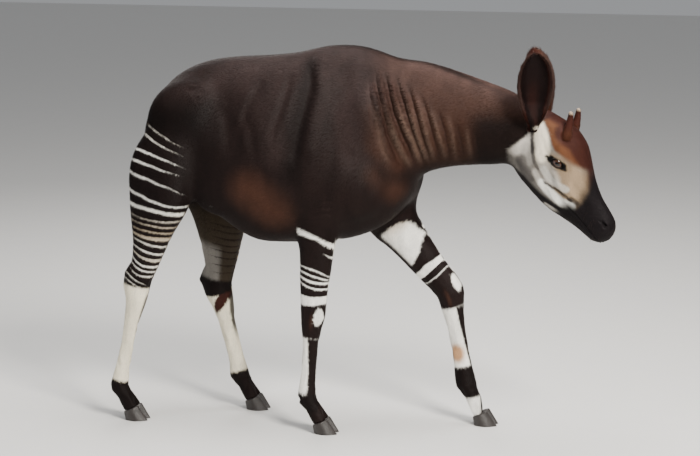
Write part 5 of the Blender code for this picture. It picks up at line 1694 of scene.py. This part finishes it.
class OKAPI_OT_eyes(bpy.types.Operator):
    """Set the dark wet eyes, with their level pupils and lashes"""

    bl_idname = "okapi.eyes"
    bl_label = "Eyes"

    def execute(self, context):
        material = eye_material()
        lash_material = noise_material("lash", 300.0, 2.0, (0.004, 0.003, 0.003), (0.022, 0.012, 0.010),
                                       roughness=0.5)[0]
        draw = np.random.default_rng(LASH_SEED)
        for side, name in SIDES:
            middle = eye_middle(side)
            outward, along, upward = eye_axes(side)
            bpy.ops.object.select_all(action="DESELECT")
            bpy.ops.mesh.primitive_uv_sphere_add(segments=64, ring_count=40, radius=EYE_RADIUS)
            ball = context.object
            ball.name = "eyeball_" + name
            turn = Matrix((along, upward, outward)).transposed().to_4x4()
            if turn.determinant() < 0:
                turn = Matrix((along, -upward, outward)).transposed().to_4x4()
            points = points_of(ball)
            front = ramp(np.hypot(points[:, 0], points[:, 1]), CORNEA_REACH, 0.0) * (points[:, 2] > 0)
            points[:, 2] += front * CORNEA_BULGE
            store(ball, {"look": points / EYE_RADIUS})
            put_points(ball, points)
            ball.data.transform(Matrix.Translation(middle) @ turn)
            pick(ball)
            bpy.ops.object.shade_smooth()
            ball.data.materials.append(material)
            ride(ball, "eye", "eye_" + name)
            strands = []
            for index in range(LASHES):
                turn = math.pi * (0.10 + 0.80 * (index + draw.uniform(-0.3, 0.3)) / (LASHES - 1))
                a, b = lid_edge(turn)
                a, b = a * 1.06, b * 1.12
                depth = math.sqrt(max((EYE_RADIUS + 0.0026) ** 2 - a * a - b * b, 0))
                foot = middle + along * a + upward * b + outward * depth
                way = (outward * 0.75 + upward * 0.42 + along * (a / EYE_HALF_LENGTH * 0.30)).normalized()
                strands.append((foot, way, draw.uniform(0.010, 0.017), LASH_RADIUS, upward * LASH_DROOP))
            lashes = hair_strands("lashes_" + name, strands)
            lashes.data.materials.append(lash_material)
            ride(lashes, "eye")
        return {"FINISHED"}


# Hooves: the width of their rounded edges, and the lean and the scale of their rings of growth.
HOOF_EDGE = 0.0018
RING_LEAN = math.radians(-14)
RING_SCALE = 85.0


class OKAPI_OT_hooves(bpy.types.Operator):
    """Round the edges of the hooves and give them rings of growth"""

    bl_idname = "okapi.hooves"
    bl_label = "Hooves"

    def execute(self, context):
        material, tree, shader = new_material("okapi_hoof", roughness=0.40)
        place = object_place(tree)
        turned = fill(tree, node(tree, "ShaderNodeMapping"),
                      {"Vector": place, "Rotation": (0, RING_LEAN, 0)})["Vector"]
        wave = node(tree, "ShaderNodeTexWave", bands_direction="Z")
        rings = fill(tree, wave, {"Vector": turned, "Scale": RING_SCALE, "Distortion": 2.5, "Detail": 2.0})
        rings = rings["Fac"]
        streaks = math_node(tree, "MULTIPLY", noise(tree, place, 90.0, 4.0), 0.5)
        colour = mix_colour(tree, rings, (0.012, 0.009, 0.008), (0.036, 0.028, 0.024))
        colour = mix_colour(tree, streaks, colour, (0.012, 0.010, 0.010))
        tree.links.new(colour, shader.inputs["Base Color"])
        add_bump(tree, shader, rings, 0.0006)
        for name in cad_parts:
            if not name.startswith("hoof"):
                continue
            hoof = cad_copy(name, name + "_horn", bpy.ops.mesh.tris_convert_to_quads)
            apply(hoof, "BEVEL", width=HOOF_EDGE, segments=3, limit_method="ANGLE",
                  angle_limit=math.radians(40))
            bpy.ops.object.shade_smooth_by_angle(angle=math.radians(35))
            hoof.data.materials.append(material)
            ride(hoof, "hoof", name)
        return {"FINISHED"}


# Locks and whiskers: their counts, the turn from one lock to the next, the drop from the first lock to the
# last, the radius of a whisker, and the seed of both.
LOCKS = 420
GOLDEN_TURN = 2.39996
LOCKS_DROP = 0.062
WHISKERS = 90
WHISKER_RADIUS = 0.00028
HAIR_SEED = 17


def lock_strands(draw):
    """Locks that hang from all round the end of the tail."""
    low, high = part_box("tail_tuft")
    top = Vector(((low.x + high.x) / 2 + 0.006, (low.y + high.y) / 2 - 0.004, high.z))
    strands = []
    for index in range(LOCKS):
        turn = index * GOLDEN_TURN
        drop = LOCKS_DROP * index / LOCKS
        outward = Vector((math.cos(turn), math.sin(turn), 0))
        start = top + Vector((0, 0, 0.006 - drop)) + outward * (0.0105 - 0.10 * max(drop - 0.03, 0))
        way = (Vector((-0.05, 0.05, -1)) + outward * draw.uniform(0.03, 0.17)).normalized()
        length = min(draw.uniform(0.085, 0.150), high.z - low.z - drop)
        radius = draw.uniform(0.0009, 0.0016)
        strands.append((start, way, length, radius, outward * draw.uniform(-0.016, 0.002)))
    return strands


def whisker_strands(draw, skin):
    """Short stiff hairs on the lips and the chin."""
    tree = KDTree(len(skin.data.vertices))
    for index, vertex in enumerate(skin.data.vertices):
        tree.insert(vertex.co, index)
    tree.balance()
    strands = []
    for _ in range(WHISKERS):
        side = draw.choice((-1, 1))
        along = draw.uniform(0.36, 0.50)
        up = draw.choice((draw.uniform(-0.030, 0.012), draw.uniform(-0.075, -0.052)))
        place, index, _ = tree.find(on_head(along, side * 0.05, up))
        out = skin.data.vertices[index].normal
        way = (out + HEAD.to_3x3() @ Vector((0.5, 0, -0.35))).normalized()
        strands.append((place, way, draw.uniform(0.012, 0.030), WHISKER_RADIUS, Vector((0, 0, -0.004))))
    return strands


class OKAPI_OT_tail_tuft(bpy.types.Operator):
    """Hang the dark tuft from the end of the tail, and set whiskers round the mouth"""

    bl_idname = "okapi.tail_tuft"
    bl_label = "Tail tuft and whiskers"

    def execute(self, context):
        material, _, shader = noise_material("tuft_hair", 60.0, 3.0, (0.006, 0.004, 0.004),
                                             (0.030, 0.016, 0.012), roughness=0.55)
        shader.inputs["Specular IOR Level"].default_value = 0.12
        draw = np.random.default_rng(HAIR_SEED)
        tuft = hair_strands("tail_locks", lock_strands(draw))
        tuft.data.materials.append(material)
        ride(tuft, "tuft_hair", "tail_tuft")
        whiskers = hair_strands("whiskers", whisker_strands(draw, bpy.data.objects["skin"]))
        whiskers.data.materials.append(material)
        ride(whiskers, "tuft_hair")
        return {"FINISHED"}


# Lamps: name, place, size, power and colour.
LAMPS = (
    ("key", (3.0, -3.0, 4.4), 1.5, 600.0, (1.0, 0.96, 0.90)),
    ("fill", (-3.6, -3.2, 2.0), 3.0, 50.0, (0.93, 0.96, 1.0)),
    ("rim", (-1.8, 3.4, 3.4), 2.0, 60.0, (1.0, 0.98, 0.95)),
    ("top", (0.3, 0.2, 4.8), 2.2, 210.0, (1.0, 0.98, 0.95)),
)
LAMP_AIM = Vector((0, 0, 0.8))
SKY = (0.90, 0.92, 0.95, 1)
SKY_STRENGTH = 0.36
FLOOR_SIZE = 40.0
FLOOR_LEVEL = -0.0005
CAMERA_AIM = (0, 0, 0.79)
SENSOR_WIDTH = 36.0


class OKAPI_OT_stage(bpy.types.Operator):
    """Lay the floor, hang the lights and set the camera"""

    bl_idname = "okapi.stage"
    bl_label = "Stage"

    def execute(self, context):
        setting = context.scene.okapi_stage
        bpy.ops.object.select_all(action="DESELECT")
        bpy.ops.mesh.primitive_plane_add(size=FLOOR_SIZE, location=(0, 0, FLOOR_LEVEL))
        floor = context.object
        floor.name = "floor"
        bpy.ops.object.transform_apply(location=True, rotation=True, scale=True)
        darker = [value * 0.97 for value in setting.floor]
        paint = noise_material("floor_paint", 9.0, 2.0, darker, setting.floor, roughness=0.75)[0]
        floor.data.materials.append(paint)
        world = bpy.data.worlds.new("studio")
        world.use_nodes = True
        fill(world.node_tree, world.node_tree.nodes["Background"], {"Color": SKY, "Strength": SKY_STRENGTH})
        context.scene.world = world
        for name, place, size, power, colour in LAMPS:
            lamp = bpy.data.lights.new(name, "AREA")
            lamp.size = size
            lamp.energy = power
            lamp.color = colour
            holder = bpy.data.objects.new(name, lamp)
            holder.location = place
            holder.rotation_mode = "QUATERNION"
            holder.rotation_quaternion = (LAMP_AIM - Vector(place)).to_track_quat("-Z", "Y")
            context.scene.collection.objects.link(holder)
        level = math.cos(setting.elevation)
        back = Vector((math.sin(setting.azimuth) * level, -math.cos(setting.azimuth) * level,
                       math.sin(setting.elevation)))
        camera = bpy.data.objects.new("camera", bpy.data.cameras.new("camera"))
        camera.location = on_body(*CAMERA_AIM) + back * setting.distance
        camera.rotation_mode = "QUATERNION"
        camera.rotation_quaternion = (-back).to_track_quat("-Z", "Y")
        camera.data.lens = setting.lens
        camera.data.sensor_width = SENSOR_WIDTH
        context.scene.collection.objects.link(camera)
        context.scene.camera = camera
        return {"FINISHED"}


class OKAPI_PT_panel(bpy.types.Panel):
    """Lists the steps that finish the okapi"""

    bl_label = "Okapi"
    bl_idname = "OKAPI_PT_panel"
    bl_space_type = "VIEW_3D"
    bl_region_type = "UI"
    bl_category = "Okapi"

    def draw(self, context):
        for step in STEPS:
            self.layout.operator(step)


STEPS = ("okapi.skin", "okapi.coat", "okapi.ears", "okapi.horns", "okapi.eyes", "okapi.hooves",
         "okapi.tail_tuft", "okapi.stage")
CLASSES = (OkapiCoat, OkapiStage, OKAPI_OT_skin, OKAPI_OT_coat, OKAPI_OT_ears, OKAPI_OT_horns, OKAPI_OT_eyes,
           OKAPI_OT_hooves, OKAPI_OT_tail_tuft, OKAPI_OT_stage, OKAPI_PT_panel)


def register():
    for each in CLASSES:
        bpy.utils.register_class(each)
    bpy.types.Scene.okapi_coat = bpy.props.PointerProperty(type=OkapiCoat)
    bpy.types.Scene.okapi_stage = bpy.props.PointerProperty(type=OkapiStage)


def unregister():
    del bpy.types.Scene.okapi_stage
    del bpy.types.Scene.okapi_coat
    for each in reversed(CLASSES):
        bpy.utils.unregister_class(each)


def main():
    register()
    bpy.ops.okapi.skin()
    bpy.ops.okapi.coat()
    bpy.ops.okapi.ears()
    bpy.ops.okapi.horns()
    bpy.ops.okapi.eyes()
    bpy.ops.okapi.hooves()
    bpy.ops.okapi.tail_tuft()
    bpy.ops.okapi.stage()


if __name__ == "__main__":
    main()
